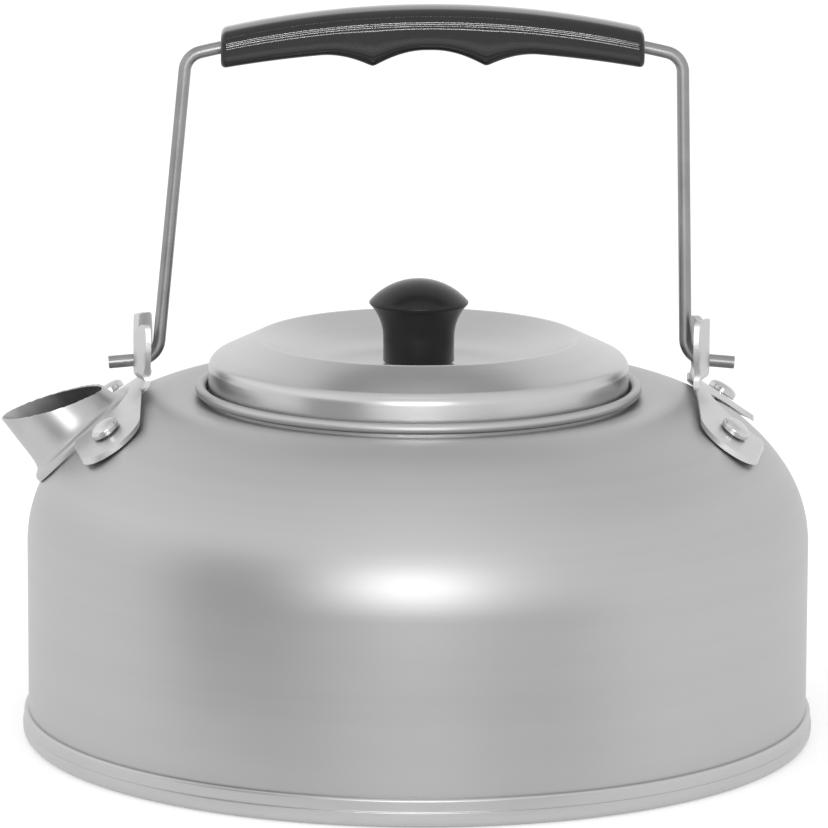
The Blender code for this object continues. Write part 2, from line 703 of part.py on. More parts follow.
def rivets(look):
    head_low = BRACKET_SHEET + 2 * GAP
    head_top = head_low + RIVET_HEAD_HEIGHT
    tail_top = -BODY_SHEET - 1.3 * GAP
    tail_low = tail_top - RIVET_TAIL_HEIGHT
    edge = 0.3 * RIVET_HEAD_HEIGHT
    section = [Vector((0, tail_low)), Vector((RIVET_TAIL_RADIUS - edge, tail_low)),
               Vector((RIVET_TAIL_RADIUS, tail_low + edge)), Vector((RIVET_TAIL_RADIUS, tail_top)),
               Vector((RIVET_SHANK_RADIUS, tail_top)), Vector((RIVET_SHANK_RADIUS, head_low)),
               Vector((RIVET_HEAD_RADIUS, head_low)), Vector((RIVET_HEAD_RADIUS, head_top - edge)),
               Vector((RIVET_HEAD_RADIUS - edge, head_top)), Vector((0, head_top))]
    mesh = turned("rivet", section, SMALL_STEPS)
    sides = {1: "right", -1: "left"}
    ends = {1: "front", -1: "rear"}
    for side, side_name in sides.items():
        for front, end_name in ends.items():
            item = add_object(f"{side_name}_{end_name}_rivet", mesh, look)
            item.matrix_world = rivet_frame(side, front)


# Bail

def bail_arc(half_width, steps):
    # The top of the bail: an arc centred a little off the kettle's middle.
    points = []
    for step in range(steps + 1):
        x = half_width * (2 * step / steps - 1)
        drop = BAIL_ARC_RADIUS - math.sqrt(BAIL_ARC_RADIUS ** 2 - x ** 2)
        points.append(Vector((x + BAIL_SHIFT, 0, BAIL_REACH - drop)))
    return points


def wire_path():
    # Centre line of the wire about the pivot, from pin tip to pin tip. Each pin droops a little, square to
    # its leg, and crosses the pivot axis inside the ear.
    top = bail_arc(BAIL_SHOULDER, 10)
    in_ear = EAR_RADIUS + CHANNEL_DEPTH
    droop = math.tan(math.radians(PIN_DROOP))
    tip = Vector((PIN_TIP, 0, -droop * (PIN_TIP - in_ear)))
    foot = Vector((LEG_SPREAD, 0, droop * (in_ear - LEG_SPREAD)))
    flip = Matrix.Diagonal((-1, 1, 1))
    aside = Vector((EAR_OFFSET, 0, 0))
    corners = [(flip @ tip + aside, 0), (flip @ foot + aside, PIN_BEND_RADIUS), (top[0], TOP_BEND_RADIUS)]
    corners += [(point, 0) for point in top[1:-1]]
    corners += [(top[-1], TOP_BEND_RADIUS), (foot + aside, PIN_BEND_RADIUS), (tip + aside, 0)]
    return round_corners(corners, 5)


def tube(name, points, radius, look):
    # Round wire along a line of points, with filled ends.
    curve = bpy.data.curves.new(name, "CURVE")
    curve.dimensions = "3D"
    curve.bevel_depth = radius
    curve.bevel_resolution = 3
    curve.use_fill_caps = True
    spline = curve.splines.new("POLY")
    spline.points.add(len(points) - 1)
    for place, point in zip(spline.points, points):
        place.co = (*point, 1.0)
    spline.use_smooth = True
    item = bpy.data.objects.new(name, curve)
    bpy.context.scene.collection.objects.link(item)
    if look is not None:
        curve.materials.append(look)
    return item


def grip_stations():
    # Places along the grip, from its middle, at which its section is drawn, and how far each is drawn in.
    shares = (-1.0, -0.62, -0.3, -0.1, 0.0, 0.1, 0.3, 0.62, 1.0)
    end = GRIP_HALF_LENGTH - GRIP_END_ROUND
    stations = [(RIDGE_SHIFT, 0.0)]
    for side in (1, -1):
        ridge = RIDGE_SPACING / 2 + side * RIDGE_SHIFT
        inner = [ridge + share * RIDGE_FLANK for share in shares]
        last = inner[-1]
        steps = 4
        outer = [last + (end - last) * step / steps for step in range(1, steps + 1)]
        stations += [(side * place, 0.0) for place in inner + outer]
        round_steps = 2
        for step in range(1, round_steps + 1):
            turn = math.pi / 2 * step / round_steps
            place = end + GRIP_END_ROUND * math.sin(turn)
            stations.append((side * place, GRIP_END_ROUND * (1 - math.cos(turn))))
    return sorted(stations)


def ridge_depth(place):
    # How far a finger ridge stands down from the underside.
    away = abs(abs(place - RIDGE_SHIFT) - RIDGE_SPACING / 2) / RIDGE_FLANK
    return RIDGE_HEIGHT * (1 - away) ** 1.5 if away < 1 else 0.0


def grip_section(place, inset):
    # Rounded section of the grip as (across, height) about the wire's centre.
    share = (place / GRIP_HALF_LENGTH) ** 2
    side = GRIP_DEPTH / 2 - inset
    top = GRIP_ABOVE_WIRE - GRIP_TOP_THINNING * share - inset
    bottom = inset - GRIP_BELOW_WIRE + GRIP_UNDER_THINNING * share - ridge_depth(place)
    quarters = [
        (Vector((side, bottom)), GRIP_UNDER_ROUND, -90),
        (Vector((side, top)), GRIP_TOP_ROUND, 0),
        (Vector((-side, top)), GRIP_TOP_ROUND, 90),
        (Vector((-side, bottom)), GRIP_UNDER_ROUND, 180),
    ]
    points = []
    steps = 3
    for corner, radius, start in quarters:
        reach = radius - inset / 2
        centre = corner - Vector((math.copysign(reach, corner.x), math.copysign(reach, corner.y)))
        for step in range(steps + 1):
            turn = math.radians(start + 90 * step / steps)
            points.append(centre + reach * Vector((math.cos(turn), math.sin(turn))))
        if start == 0:
            points.append(Vector((0.0, top + GRIP_CROWN)))
    return points


def bail_grip(look, holder):
    shape = bmesh.new()
    rings = []
    for place, inset in grip_stations():
        along = place + GRIP_SHIFT
        drop = BAIL_ARC_RADIUS - math.sqrt(BAIL_ARC_RADIUS ** 2 - along ** 2)
        rings.append([shape.verts.new((along + BAIL_SHIFT, point.x, BAIL_REACH - drop + point.y))
                      for point in grip_section(place, inset)])
    for left, right in zip(rings, rings[1:]):
        for index in range(len(left)):
            after = (index + 1) % len(left)
            shape.faces.new((left[index], left[after], right[after], right[index]))
    shape.faces.new(rings[0])
    shape.faces.new(rings[-1])
    item = add_object("bail_grip", finish_mesh(shape, "bail_grip"), look, (0, 0, PIVOT_HEIGHT))
    bore_path = bail_arc(GRIP_HALF_LENGTH + 2 * WIRE_RADIUS, 12)
    guide = tube("grip_bore", bore_path, WIRE_HOLE_RADIUS, None)
    view = bpy.context.evaluated_depsgraph_get()
    bore = hide(add_object("grip_bore_cutter", bpy.data.meshes.new_from_object(guide.evaluated_get(view)), None))
    bore.location = (0, 0, PIVOT_HEIGHT)
    bpy.data.objects.remove(guide, do_unlink=True)
    cut(item, bore)
    item.parent = holder
    item.location = (0, 0, 0)
    return item


def bail(steel, plastic):
    hinge = bpy.data.objects.new("bail_hinge", None)
    bpy.context.scene.collection.objects.link(hinge)
    hinge.location = (0, 0, PIVOT_HEIGHT)
    wire = tube("bail_wire", wire_path(), WIRE_RADIUS, steel)
    wire.parent = hinge
    bail_grip(plastic, hinge)


def build():
    clear_scene()
    satin = material("satin_aluminium", (0.78, 0.78, 0.79), 0.38, 1.0)
    brushed = material("brushed_aluminium", (0.74, 0.74, 0.75), 0.32, 1.0)
    lid_satin = material("turned_aluminium", (0.76, 0.76, 0.77), 0.34, 1.0)
    polished = material("polished_aluminium", (0.86, 0.86, 0.87), 0.16, 1.0)
    bright = material("bright_aluminium", (0.88, 0.88, 0.88), 0.20, 1.0)
    rivet_metal = material("rivet_aluminium", (0.80, 0.80, 0.81), 0.22, 1.0)
    steel = material("drawn_steel", (0.42, 0.42, 0.43), 0.30, 1.0)
    zinc = material("zinc_steel", (0.60, 0.61, 0.63), 0.35, 1.0)
    brass = material("brass", (0.75, 0.58, 0.28), 0.35, 1.0)
    black_grip = material("black_plastic", (0.012, 0.012, 0.013), 0.18, 0.0)
    black_knob = material("black_knob_plastic", (0.010, 0.010, 0.011), 0.28, 0.0)
    body_shell(satin)
    base_pan(brushed)
    spout(polished)
    brackets(bright)
    rivets(rivet_metal)
    lid_shell(lid_satin)
    lid_knob(black_knob)
    knob_insert(brass)
    knob_screw(zinc)
    knob_washer(zinc)
    bail(steel, black_grip)


build()
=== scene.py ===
import json
import math

import bpy
from mathutils import Matrix, Vector


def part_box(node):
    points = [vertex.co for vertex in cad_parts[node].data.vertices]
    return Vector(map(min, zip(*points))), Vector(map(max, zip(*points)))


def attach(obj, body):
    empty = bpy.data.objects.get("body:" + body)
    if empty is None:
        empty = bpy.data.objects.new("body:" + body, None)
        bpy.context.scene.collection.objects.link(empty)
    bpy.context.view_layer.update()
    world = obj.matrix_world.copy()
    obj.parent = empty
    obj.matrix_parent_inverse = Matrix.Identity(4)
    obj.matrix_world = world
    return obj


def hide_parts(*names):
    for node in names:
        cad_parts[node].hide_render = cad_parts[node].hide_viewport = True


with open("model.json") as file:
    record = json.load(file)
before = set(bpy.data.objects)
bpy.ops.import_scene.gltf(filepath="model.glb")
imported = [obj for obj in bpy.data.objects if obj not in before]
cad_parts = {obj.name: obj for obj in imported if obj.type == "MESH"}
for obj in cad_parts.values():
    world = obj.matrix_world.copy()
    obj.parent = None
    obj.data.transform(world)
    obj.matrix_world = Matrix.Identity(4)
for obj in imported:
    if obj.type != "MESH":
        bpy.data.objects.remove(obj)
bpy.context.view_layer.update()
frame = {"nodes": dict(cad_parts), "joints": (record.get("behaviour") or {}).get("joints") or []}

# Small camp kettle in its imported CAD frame: finer pieces and finishes for every node.
# Metres. The spout points to -X, the photograph looks along +Y.

pivotHeight = next(joint["pos_m"][2] for joint in frame["joints"] if joint["name"] == "bail_swing")
print("frame loaded, bail axis at", round(pivotHeight, 5))


# helpers for modelling

# points closer than these become one
turnedMerge = 0.000004
sweptMerge = 0.000002


def startFresh():
    if bpy.context.object and bpy.context.object.mode != "OBJECT":
        bpy.ops.object.mode_set(mode="OBJECT")
    bpy.ops.object.select_all(action="DESELECT")


def makeActive(piece):
    startFresh()
    piece.select_set(True)
    bpy.context.view_layer.objects.active = piece


def applyPlace(piece):
    makeActive(piece)
    bpy.ops.object.transform_apply(location=True, rotation=True, scale=True)


def editAll():
    bpy.ops.object.mode_set(mode="EDIT")
    bpy.ops.mesh.select_all(action="SELECT")


def faceOutwards(merge=None):
    # ends edit mode: points closer than merge become one, and every face looks outwards
    bpy.ops.mesh.select_all(action="SELECT")
    if merge:
        bpy.ops.mesh.remove_doubles(threshold=merge)
    bpy.ops.mesh.normals_make_consistent(inside=False)
    bpy.ops.object.mode_set(mode="OBJECT")


def walk(start, heading, moves):
    # points of a line of straights (length,) and arcs (radius, turn in degrees, steps)
    points = [Vector(start)]
    angle = math.radians(heading)
    for move in moves:
        if len(move) == 1:
            points.append(points[-1] + move[0] * Vector((math.cos(angle), math.sin(angle))))
            continue
        radius, turn, steps = move
        side = math.copysign(1.0, turn)
        centre = points[-1] + side * radius * Vector((-math.sin(angle), math.cos(angle)))
        for step in range(1, steps + 1):
            now = angle + math.radians(turn) * step / steps
            points.append(centre - side * radius * Vector((-math.sin(now), math.cos(now))))
        angle += math.radians(turn)
    return points


def besideLine(path, distance):
    # the same line moved to its left, corners mitred
    moved = []
    for index, point in enumerate(path):
        into = point - path[max(index - 1, 0)]
        out = path[min(index + 1, len(path) - 1)] - point
        into = into.normalized() if into.length else out.normalized()
        out = out.normalized() if out.length else into
        left = Vector((-into.y - out.y, into.x + out.x)).normalized()
        moved.append(point + left * distance / left.dot(Vector((-into.y, into.x))))
    return moved


def roundCorners(corners, steps):
    # a line whose corners (point, radius) are rounded off
    points = []
    for index, (point, radius) in enumerate(corners):
        if radius == 0:
            points.append(point)
            continue
        into = (corners[index - 1][0] - point).normalized()
        out = (corners[(index + 1) % len(corners)][0] - point).normalized()
        half = into.angle(out) / 2
        centre = point + (into + out).normalized() * radius / math.sin(half)
        first = (point + into * radius / math.tan(half) - centre).normalized()
        last = (point + out * radius / math.tan(half) - centre).normalized()
        points += [centre + radius * first.slerp(last, step / steps) for step in range(steps + 1)]
    return points


def pullLine(name, points, closed=False):
    # a plane merged to one vertex, which is then pulled from point to point
    startFresh()
    bpy.ops.mesh.primitive_plane_add(size=0.01, location=(0, 0, 0))
    piece = bpy.context.object
    piece.name = piece.data.name = name
    editAll()
    bpy.ops.mesh.merge(type="CENTER")
    bpy.ops.transform.translate(value=points[0])
    for before, after in zip(points, points[1:]):
        bpy.ops.mesh.extrude_region_move(TRANSFORM_OT_translate={"value": after - before})
    if closed:
        bpy.ops.object.mode_set(mode="OBJECT")
        for vertex in piece.data.vertices:
            vertex.select = vertex.index in (0, len(points) - 1)
        bpy.ops.object.mode_set(mode="EDIT")
        bpy.ops.mesh.edge_face_add()
    bpy.ops.object.mode_set(mode="OBJECT")
    return piece


def turnOnLathe(name, section, steps):
    # a closed section of (radius, height) spun round Z
    line = [Vector((point[0], 0.0, point[1])) for point in section]
    piece = pullLine(name, line, closed=True)
    editAll()
    bpy.ops.mesh.spin(steps=steps, angle=math.tau, center=(0, 0, 0), axis=(0, 0, 1))
    faceOutwards(turnedMerge)
    return piece


def useModifier(piece, kind, **settings):
    makeActive(piece)
    step = piece.modifiers.new(kind.lower(), kind)
    for key, value in settings.items():
        setattr(step, key, value)
    bpy.ops.object.modifier_apply(modifier=step.name)


def throwAway(piece):
    bpy.data.objects.remove(piece, do_unlink=True)


def settle(piece, look, body, slotName, *nodes, smooth=35):
    applyPlace(piece)
    bpy.ops.object.shade_smooth_by_angle(angle=math.radians(smooth))
    piece.data.materials.clear()
    piece.data.materials.append(look)
    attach(piece, body)
    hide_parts(*nodes)
    print("piece", piece.name, len(piece.data.polygons), "faces")


# shared effects

def newGroup(name, inputs, outputs):
    group = bpy.data.node_groups.new(name, "ShaderNodeTree")
    for label, kind, value in inputs:
        socket = group.interface.new_socket(label, in_out="INPUT", socket_type=kind)
        if value is not None:
            socket.default_value = value
    for label, kind in outputs:
        group.interface.new_socket(label, in_out="OUTPUT", socket_type=kind)
    return group, group.nodes.new("NodeGroupInput"), group.nodes.new("NodeGroupOutput")


def addNode(tree, kind, **settings):
    node = tree.nodes.new(kind)
    for key, value in settings.items():
        if key in node.inputs:
            node.inputs[key].default_value = value
        else:
            setattr(node, key, value)
    return node


def sums(tree, operation, *values):
    node = tree.nodes.new("ShaderNodeMath")
    node.operation = operation
    for socket, value in zip(node.inputs, values):
        if isinstance(value, (int, float)):
            socket.default_value = value
        else:
            tree.links.new(value, socket)
    return node.outputs[0]


def remap(tree, value, source, target, **settings):
    node = addNode(tree, "ShaderNodeMapRange", **settings)
    labels = ("From Min", "From Max", "To Min", "To Max")
    for label, limit in zip(labels, (*source, *target)):
        node.inputs[label].default_value = limit
    tree.links.new(value, node.inputs["Value"])
    return node.outputs[0]


def makeTurnedGrain():
    # fine rings that a lathe or a polishing wheel leaves round the Z axis
    group, given, result = newGroup("turnedGrain", [
        ("Vector", "NodeSocketVector", None),
        ("Fineness", "NodeSocketFloat", 3000.0),
        ("Breaks", "NodeSocketFloat", 1.5),
    ], [("Height", "NodeSocketFloat"), ("Broad", "NodeSocketFloat")])
    split = addNode(group, "ShaderNodeSeparateXYZ")
    group.links.new(given.outputs["Vector"], split.inputs[0])
    x, y, z = (split.outputs[axis] for axis in "XYZ")
    across = sums(group, "MULTIPLY", x, x)
    along = sums(group, "MULTIPLY", y, y)
    radius = sums(group, "SQRT", sums(group, "ADD", across, along))
    angle = sums(group, "ARCTAN2", y, x)
    join = addNode(group, "ShaderNodeCombineXYZ")
    fineness, breaks = given.outputs["Fineness"], given.outputs["Breaks"]
    for axis, value, scale in (("X", radius, fineness), ("Y", z, fineness), ("Z", angle, breaks)):
        group.links.new(sums(group, "MULTIPLY", value, scale), join.inputs[axis])
    fine = addNode(group, "ShaderNodeTexNoise", Scale=1.0, Detail=2.0, Roughness=0.6)
    broad = addNode(group, "ShaderNodeTexNoise", Scale=0.12, Detail=3.0, Roughness=0.5)
    for noise, label in ((fine, "Height"), (broad, "Broad")):
        group.links.new(join.outputs[0], noise.inputs["Vector"])
        group.links.new(noise.outputs["Fac"], result.inputs[label])
    return group


scratch = {"bendScale": 60.0, "bendPush": 0.012, "width": 0.02, "cloudLimit": 0.56}


def makeHandling():
    # cloudy marks and thin random scratches of a metal that has been handled
    group, given, result = newGroup("handling", [
        ("Vector", "NodeSocketVector", None),
        ("Clouds", "NodeSocketFloat", 40.0),
        ("Scratches", "NodeSocketFloat", 300.0),
    ], [("Cloud", "NodeSocketFloat"), ("Scratch", "NodeSocketFloat")])
    cloud = addNode(group, "ShaderNodeTexNoise", Detail=4.0, Roughness=0.55)
    group.links.new(given.outputs["Vector"], cloud.inputs["Vector"])
    group.links.new(given.outputs["Clouds"], cloud.inputs["Scale"])
    bend = addNode(group, "ShaderNodeTexNoise", Scale=scratch["bendScale"], Detail=1.0)
    group.links.new(given.outputs["Vector"], bend.inputs["Vector"])
    push = addNode(group, "ShaderNodeVectorMath", operation="MULTIPLY_ADD")
    group.links.new(bend.outputs["Color"], push.inputs[0])
    push.inputs[1].default_value = (scratch["bendPush"],) * 3
    group.links.new(given.outputs["Vector"], push.inputs[2])
    cells = addNode(group, "ShaderNodeTexVoronoi", feature="DISTANCE_TO_EDGE")
    group.links.new(push.outputs[0], cells.inputs["Vector"])
    group.links.new(given.outputs["Scratches"], cells.inputs["Scale"])
    line = remap(group, cells.outputs["Distance"], (0.0, scratch["width"]), (1.0, 0.0))
    clouded = sums(group, "GREATER_THAN", cloud.outputs["Fac"], scratch["cloudLimit"])
    group.links.new(cloud.outputs["Fac"], result.inputs["Cloud"])
    group.links.new(sums(group, "MULTIPLY", line, clouded), result.inputs["Scratch"])
    return group


turnedGrain = makeTurnedGrain()
handling = makeHandling()


def placeGroup(tree, group, vector, **values):
    node = tree.nodes.new("ShaderNodeGroup")
    node.node_tree = group
    tree.links.new(vector, node.inputs["Vector"])
    for key, value in values.items():
        node.inputs[key].default_value = value
    return node


def spread(tree, value, low, high):
    # most of a noise lies between 0.3 and 0.7
    return remap(tree, value, (0.3, 0.7), (low, high))


def tint(tree, factor, dark, light):
    node = tree.nodes.new("ShaderNodeMix")
    node.data_type = "RGBA"
    tree.links.new(factor, node.inputs["Factor"])
    node.inputs[6].default_value = (*dark, 1.0)
    node.inputs[7].default_value = (*light, 1.0)
    return node.outputs[2]


def bump(tree, height, distance, strength, before=None):
    node = tree.nodes.new("ShaderNodeBump")
    node.inputs["Distance"].default_value = distance
    node.inputs["Strength"].default_value = strength
    tree.links.new(height, node.inputs["Height"])
    if before is not None:
        tree.links.new(before, node.inputs["Normal"])
    return node.outputs["Normal"]


def newMaterial(name):
    made = bpy.data.materials.new(name)
    made.use_nodes = True
    tree = made.node_tree
    shader = tree.nodes["Principled BSDF"]
    place = tree.nodes.new("ShaderNodeTexCoord")
    return made, tree, shader, place.outputs["Object"]


turnedWear = {"shine": -0.01, "depth": -0.000004, "strength": 0.02}
sheetWear = {"shine": 0.10, "depth": -0.00002, "strength": 0.3}


def finishMetal(tree, shader, marks, colour, rough, roughSpread, relief, wear):
    # roughness from the clouds, and scratches over the relief
    shader.inputs["Metallic"].default_value = 1.0
    tree.links.new(colour, shader.inputs["Base Color"])
    base = spread(tree, marks.outputs["Cloud"], rough - roughSpread, rough + roughSpread)
    scratches = marks.outputs["Scratch"]
    worn = sums(tree, "ADD", base, sums(tree, "MULTIPLY", scratches, wear["shine"]))
    tree.links.new(worn, shader.inputs["Roughness"])
    normal = bump(tree, scratches, wear["depth"], wear["strength"], relief)
    tree.links.new(normal, shader.inputs["Normal"])


def turnedMetal(name, dark, light, rough, roughSpread, fineness, grainDepth, clouds):
    made, tree, shader, place = newMaterial(name)
    grain = placeGroup(tree, turnedGrain, place, Fineness=fineness)
    marks = placeGroup(tree, handling, place, Clouds=clouds)
    mixed = sums(tree, "ADD", sums(tree, "MULTIPLY", grain.outputs["Broad"], 0.5),
                 sums(tree, "MULTIPLY", marks.outputs["Cloud"], 0.5))
    colour = tint(tree, spread(tree, mixed, 0.0, 1.0), dark, light)
    rings = bump(tree, grain.outputs["Height"], grainDepth, 1.0)
    finishMetal(tree, shader, marks, colour, rough, roughSpread, rings, turnedWear)
    return made


def sheetMetal(name, dark, light, rough, roughSpread, clouds, dents):
    made, tree, shader, place = newMaterial(name)
    marks = placeGroup(tree, handling, place, Clouds=clouds)
    colour = tint(tree, spread(tree, marks.outputs["Cloud"], 0.0, 1.0), dark, light)
    uneven = bump(tree, marks.outputs["Cloud"], dents, 1.0)
    finishMetal(tree, shader, marks, colour, rough, roughSpread, uneven, sheetWear)
    return made


plastic = {
    "sheen": 0.35, "sheenRough": 0.22, "clouds": 70.0, "lighter": 1.6, "smoothest": 0.8,
    "roughest": 1.3,
}


def mouldedPlastic(name, colour, rough, skin, skinDepth, shine=0.5):
    made, tree, shader, place = newMaterial(name)
    shader.inputs["Specular IOR Level"].default_value = shine
    shader.inputs["Sheen Weight"].default_value = plastic["sheen"]
    shader.inputs["Sheen Roughness"].default_value = plastic["sheenRough"]
    cloud = placeGroup(tree, handling, place, Clouds=plastic["clouds"]).outputs["Cloud"]
    lighter = tuple(plastic["lighter"] * part for part in colour)
    mottled = tint(tree, spread(tree, cloud, 0.0, 1.0), colour, lighter)
    tree.links.new(mottled, shader.inputs["Base Color"])
    uneven = spread(tree, cloud, plastic["smoothest"] * rough, plastic["roughest"] * rough)
    tree.links.new(uneven, shader.inputs["Roughness"])
    grain = addNode(tree, "ShaderNodeTexNoise", Scale=skin, Detail=3.0, Roughness=0.5)
    tree.links.new(place, grain.inputs["Vector"])
    tree.links.new(bump(tree, grain.outputs["Fac"], skinDepth, 1.0), shader.inputs["Normal"])
    return made


def grey(level):
    # the metals lean a trace towards blue
    return level, level, level + 0.003


shellLook = turnedMetal("satinShell", grey(0.485), grey(0.515), rough=0.45, roughSpread=0.02,
                        fineness=2600.0, grainDepth=0.000004, clouds=30.0)
panLook = turnedMetal("turnedPan", grey(0.52), grey(0.57), rough=0.38, roughSpread=0.03,
                      fineness=1500.0, grainDepth=0.000005, clouds=45.0)
lidLook = turnedMetal("turnedLid", grey(0.54), grey(0.59), rough=0.30, roughSpread=0.02,
                      fineness=2600.0, grainDepth=0.000004, clouds=40.0)
spoutLook = sheetMetal("polishedSpout", grey(0.45), grey(0.53), rough=0.37, roughSpread=0.04,
                       clouds=90.0, dents=0.00005)
bracketLook = sheetMetal("bracketSheet", grey(0.57), grey(0.67), rough=0.42, roughSpread=0.05,
                         clouds=120.0, dents=0.00004)
rivetLook = sheetMetal("rivetMetal", grey(0.52), grey(0.66), rough=0.22, roughSpread=0.05,
                       clouds=200.0, dents=0.00006)
wireLook = sheetMetal("drawnWire", grey(0.27), grey(0.34), rough=0.33, roughSpread=0.05,
                      clouds=150.0, dents=0.00002)
screwLook = sheetMetal("zincScrew", (0.42, 0.43, 0.45), (0.52, 0.53, 0.55), rough=0.35,
                       roughSpread=0.05, clouds=200.0, dents=0.00002)
brassLook = sheetMetal("brassInsert", (0.50, 0.38, 0.16), (0.60, 0.46, 0.22), rough=0.35,
                       roughSpread=0.05, clouds=200.0, dents=0.00002)
gripLook = mouldedPlastic("gripPlastic", (0.005, 0.005, 0.0053), rough=0.08, skin=900.0,
                          skinDepth=0.000004)
knobLook = mouldedPlastic("knobPlastic", (0.006, 0.006, 0.0064), rough=0.28, skin=1600.0,
                          skinDepth=0.000010, shine=0.34)
print("materials made")


shell = {
    "radius": 0.0748, "foot": 0.0023, "sheet": 0.0010, "wallStep": 0.012, "wallTop": 0.0380,
    "shoulder": (0.0248, 34.1, 14), "crown": (0.0357, 38.0, 16), "brow": (0.0120, 26.0, 8),
    "neckRun": 0.0048, "collarSheet": 0.0012, "collarHeight": 0.0027, "collarEdge": 0.0002,
    "bead": 0.0010, "beadSteps": 14, "recess": 0.0005, "ledge": 0.0022, "spoutSeat": 42.0,
    "spoutLean": 45.0, "spoutHole": 0.0101, "holeSides": 64, "holeDepth": 0.03, "steps": 160,
}


def shellLine():
    # the outside of the shell, from its foot to the neck
    step = shell["wallStep"]
    return walk((shell["radius"], shell["foot"]), 90, [
        (step,), (step,), (shell["wallTop"] - shell["foot"] - 2 * step,),
        shell["shoulder"], shell["crown"], shell["brow"], (shell["neckRun"],),
    ])


shellPath = shellLine()
neckLevel = shellPath[-1].y
collarRadius = shellPath[-1].x - shell["collarSheet"]


def crownPoint(slope):
    # the place on the crown where the shell slopes by so many degrees
    turn = math.radians(shell["shoulder"][1])
    step = shell["crown"][0] - shell["shoulder"][0]
    x = shell["radius"] - shell["shoulder"][0] - step * math.cos(turn)
    z = shell["wallTop"] - step * math.sin(turn)
    angle = math.radians(slope)
    return Vector((x, z)) + shell["crown"][0] * Vector((math.sin(angle), math.cos(angle)))


def spoutPlace():
    seat = crownPoint(shell["spoutSeat"])
    turned = Matrix.Rotation(math.pi, 4, "Z") @ Matrix.Translation((seat.x, 0, seat.y))
    return turned @ Matrix.Rotation(math.radians(shell["spoutLean"]), 4, "Y")


def makeShell():
    bead, recess, edge = shell["bead"], shell["recess"], shell["collarEdge"]
    count = shell["beadSteps"]
    middle = Vector((collarRadius + bead, neckLevel + shell["collarHeight"] - bead))
    start = -math.acos((recess - bead) / bead)
    turns = [start + (math.pi - start) * step / count for step in range(count + 1)]
    roll = [middle + bead * Vector((math.cos(turn), math.sin(turn))) for turn in turns]
    ledge = collarRadius - shell["ledge"]
    section = shellPath + [Vector((collarRadius + recess, neckLevel))] + roll + [
        Vector((collarRadius, neckLevel + edge)), Vector((collarRadius - edge, neckLevel)),
        Vector((ledge, neckLevel)), Vector((ledge, neckLevel - shell["sheet"])),
    ] + besideLine(shellPath, shell["sheet"])[::-1]
    piece = turnOnLathe("shell", section, shell["steps"])
    startFresh()
    bpy.ops.mesh.primitive_cylinder_add(vertices=shell["holeSides"], radius=shell["spoutHole"],
                                        depth=shell["holeDepth"])
    hole = bpy.context.object
    hole.matrix_world = spoutPlace()
    useModifier(piece, "BOOLEAN", operation="DIFFERENCE", solver="EXACT", object=hole)
    throwAway(hole)
    settle(piece, shellLook, "kettle", "shell_aluminium", "body_shell")


makeShell()


pan = {
    "outside": 0.0759, "sheet": 0.0008, "corner": 0.0020, "height": 0.0056, "lip": 0.0006,
    "lipTurn": 80, "band": 0.0008, "bandStep": 0.00012, "support": 0.0001, "play": 0.00002,
    "seatDrop": 0.0007, "middle": 0.02, "groove": 0.0525, "grooveHalf": 0.0015,
    "grooveSlope": 0.0006, "steps": 160,
}


def makePan():
    outside, height, corner, sheet = (pan[key] for key in ("outside", "height", "corner", "sheet"))
    low, slope = pan["groove"] - pan["grooveHalf"], pan["grooveSlope"]
    high = low + 2 * pan["grooveHalf"]
    under = [Vector((0, 0)), Vector((pan["middle"], 0)), Vector((low, 0)),
             Vector((low + slope, slope)), Vector((high - slope, slope)), Vector((high, 0))]
    # a band round the foot, a small step inwards, the upright and its rounded lip
    support, step = pan["support"], pan["bandStep"]
    upright = height - corner - pan["band"] - 4 * support - 2 * step
    upright -= pan["lip"] * math.sin(math.radians(pan["lipTurn"]))
    rim = walk((outside - corner, 0), 0, [
        (corner, 90, 8), (support,), (pan["band"],), (support,), (step, 90, 2), (step, -90, 2),
        (support,), (upright,), (support,), (pan["lip"], pan["lipTurn"], 9),
    ])
    well = walk((outside - corner, sheet), 0, [(corner - sheet, 90, 6)])
    snug = shell["radius"] + pan["play"]
    top = [Vector((snug, height + pan["play"])), Vector((snug, height - pan["seatDrop"])),
           Vector((outside - sheet, height - 2 * pan["seatDrop"]))]
    floor = [point + Vector((0, sheet)) for point in under[::-1]]
    piece = turnOnLathe("basePan", under + rim + top + well[::-1] + floor, pan["steps"])
    settle(piece, panLook, "kettle", "pan_aluminium", "base_pan")


makePan()


lid = {
    "play": 0.0005, "sheet": 0.0009, "wall": 0.0053, "skirt": 0.0050, "seatCurve": 0.0003,
    "stepCurve": 0.0012, "shoulder": 0.0025, "slope": 25.5, "slopeLength": 0.0084,
    "crest": 0.0013, "dishSlope": 30.0, "dishSlopeLength": 0.0032, "dish": 0.0260,
    "screwHole": 0.0023, "steps": 160,
}


def lidLine():
    # the outside, from the foot of the skirt inside the neck to the hole for the screw
    lidRadius = collarRadius - lid["play"]
    skirt = collarRadius - shell["ledge"] - lid["play"]
    curve = lid["seatCurve"]
    path = walk((skirt, neckLevel + curve - lid["skirt"]), 90, [
        (lid["skirt"] - curve,),
        (curve, -90, 2),
        (lidRadius - skirt - curve - lid["stepCurve"],),
        (lid["stepCurve"], 90, 8),
        (lid["wall"] - lid["stepCurve"],),
        (lid["shoulder"], 90 - lid["slope"], 12),
        (lid["slopeLength"] / 2,), (lid["slopeLength"] / 2,),
        (lid["crest"], lid["slope"] + lid["dishSlope"], 8),
        (lid["dishSlopeLength"],),
        (lid["dish"], -lid["dishSlope"], 14),
    ])
    path.append(Vector((lid["screwHole"], path[-1].y)))
    return path


lidPath = lidLine()
dishLevel = lidPath[-1].y


def makeLid():
    section = lidPath + besideLine(lidPath, lid["sheet"])[::-1]
    piece = turnOnLathe("lidShell", section, lid["steps"])
    settle(piece, lidLook, "lid", "lid_aluminium", "lid_shell")


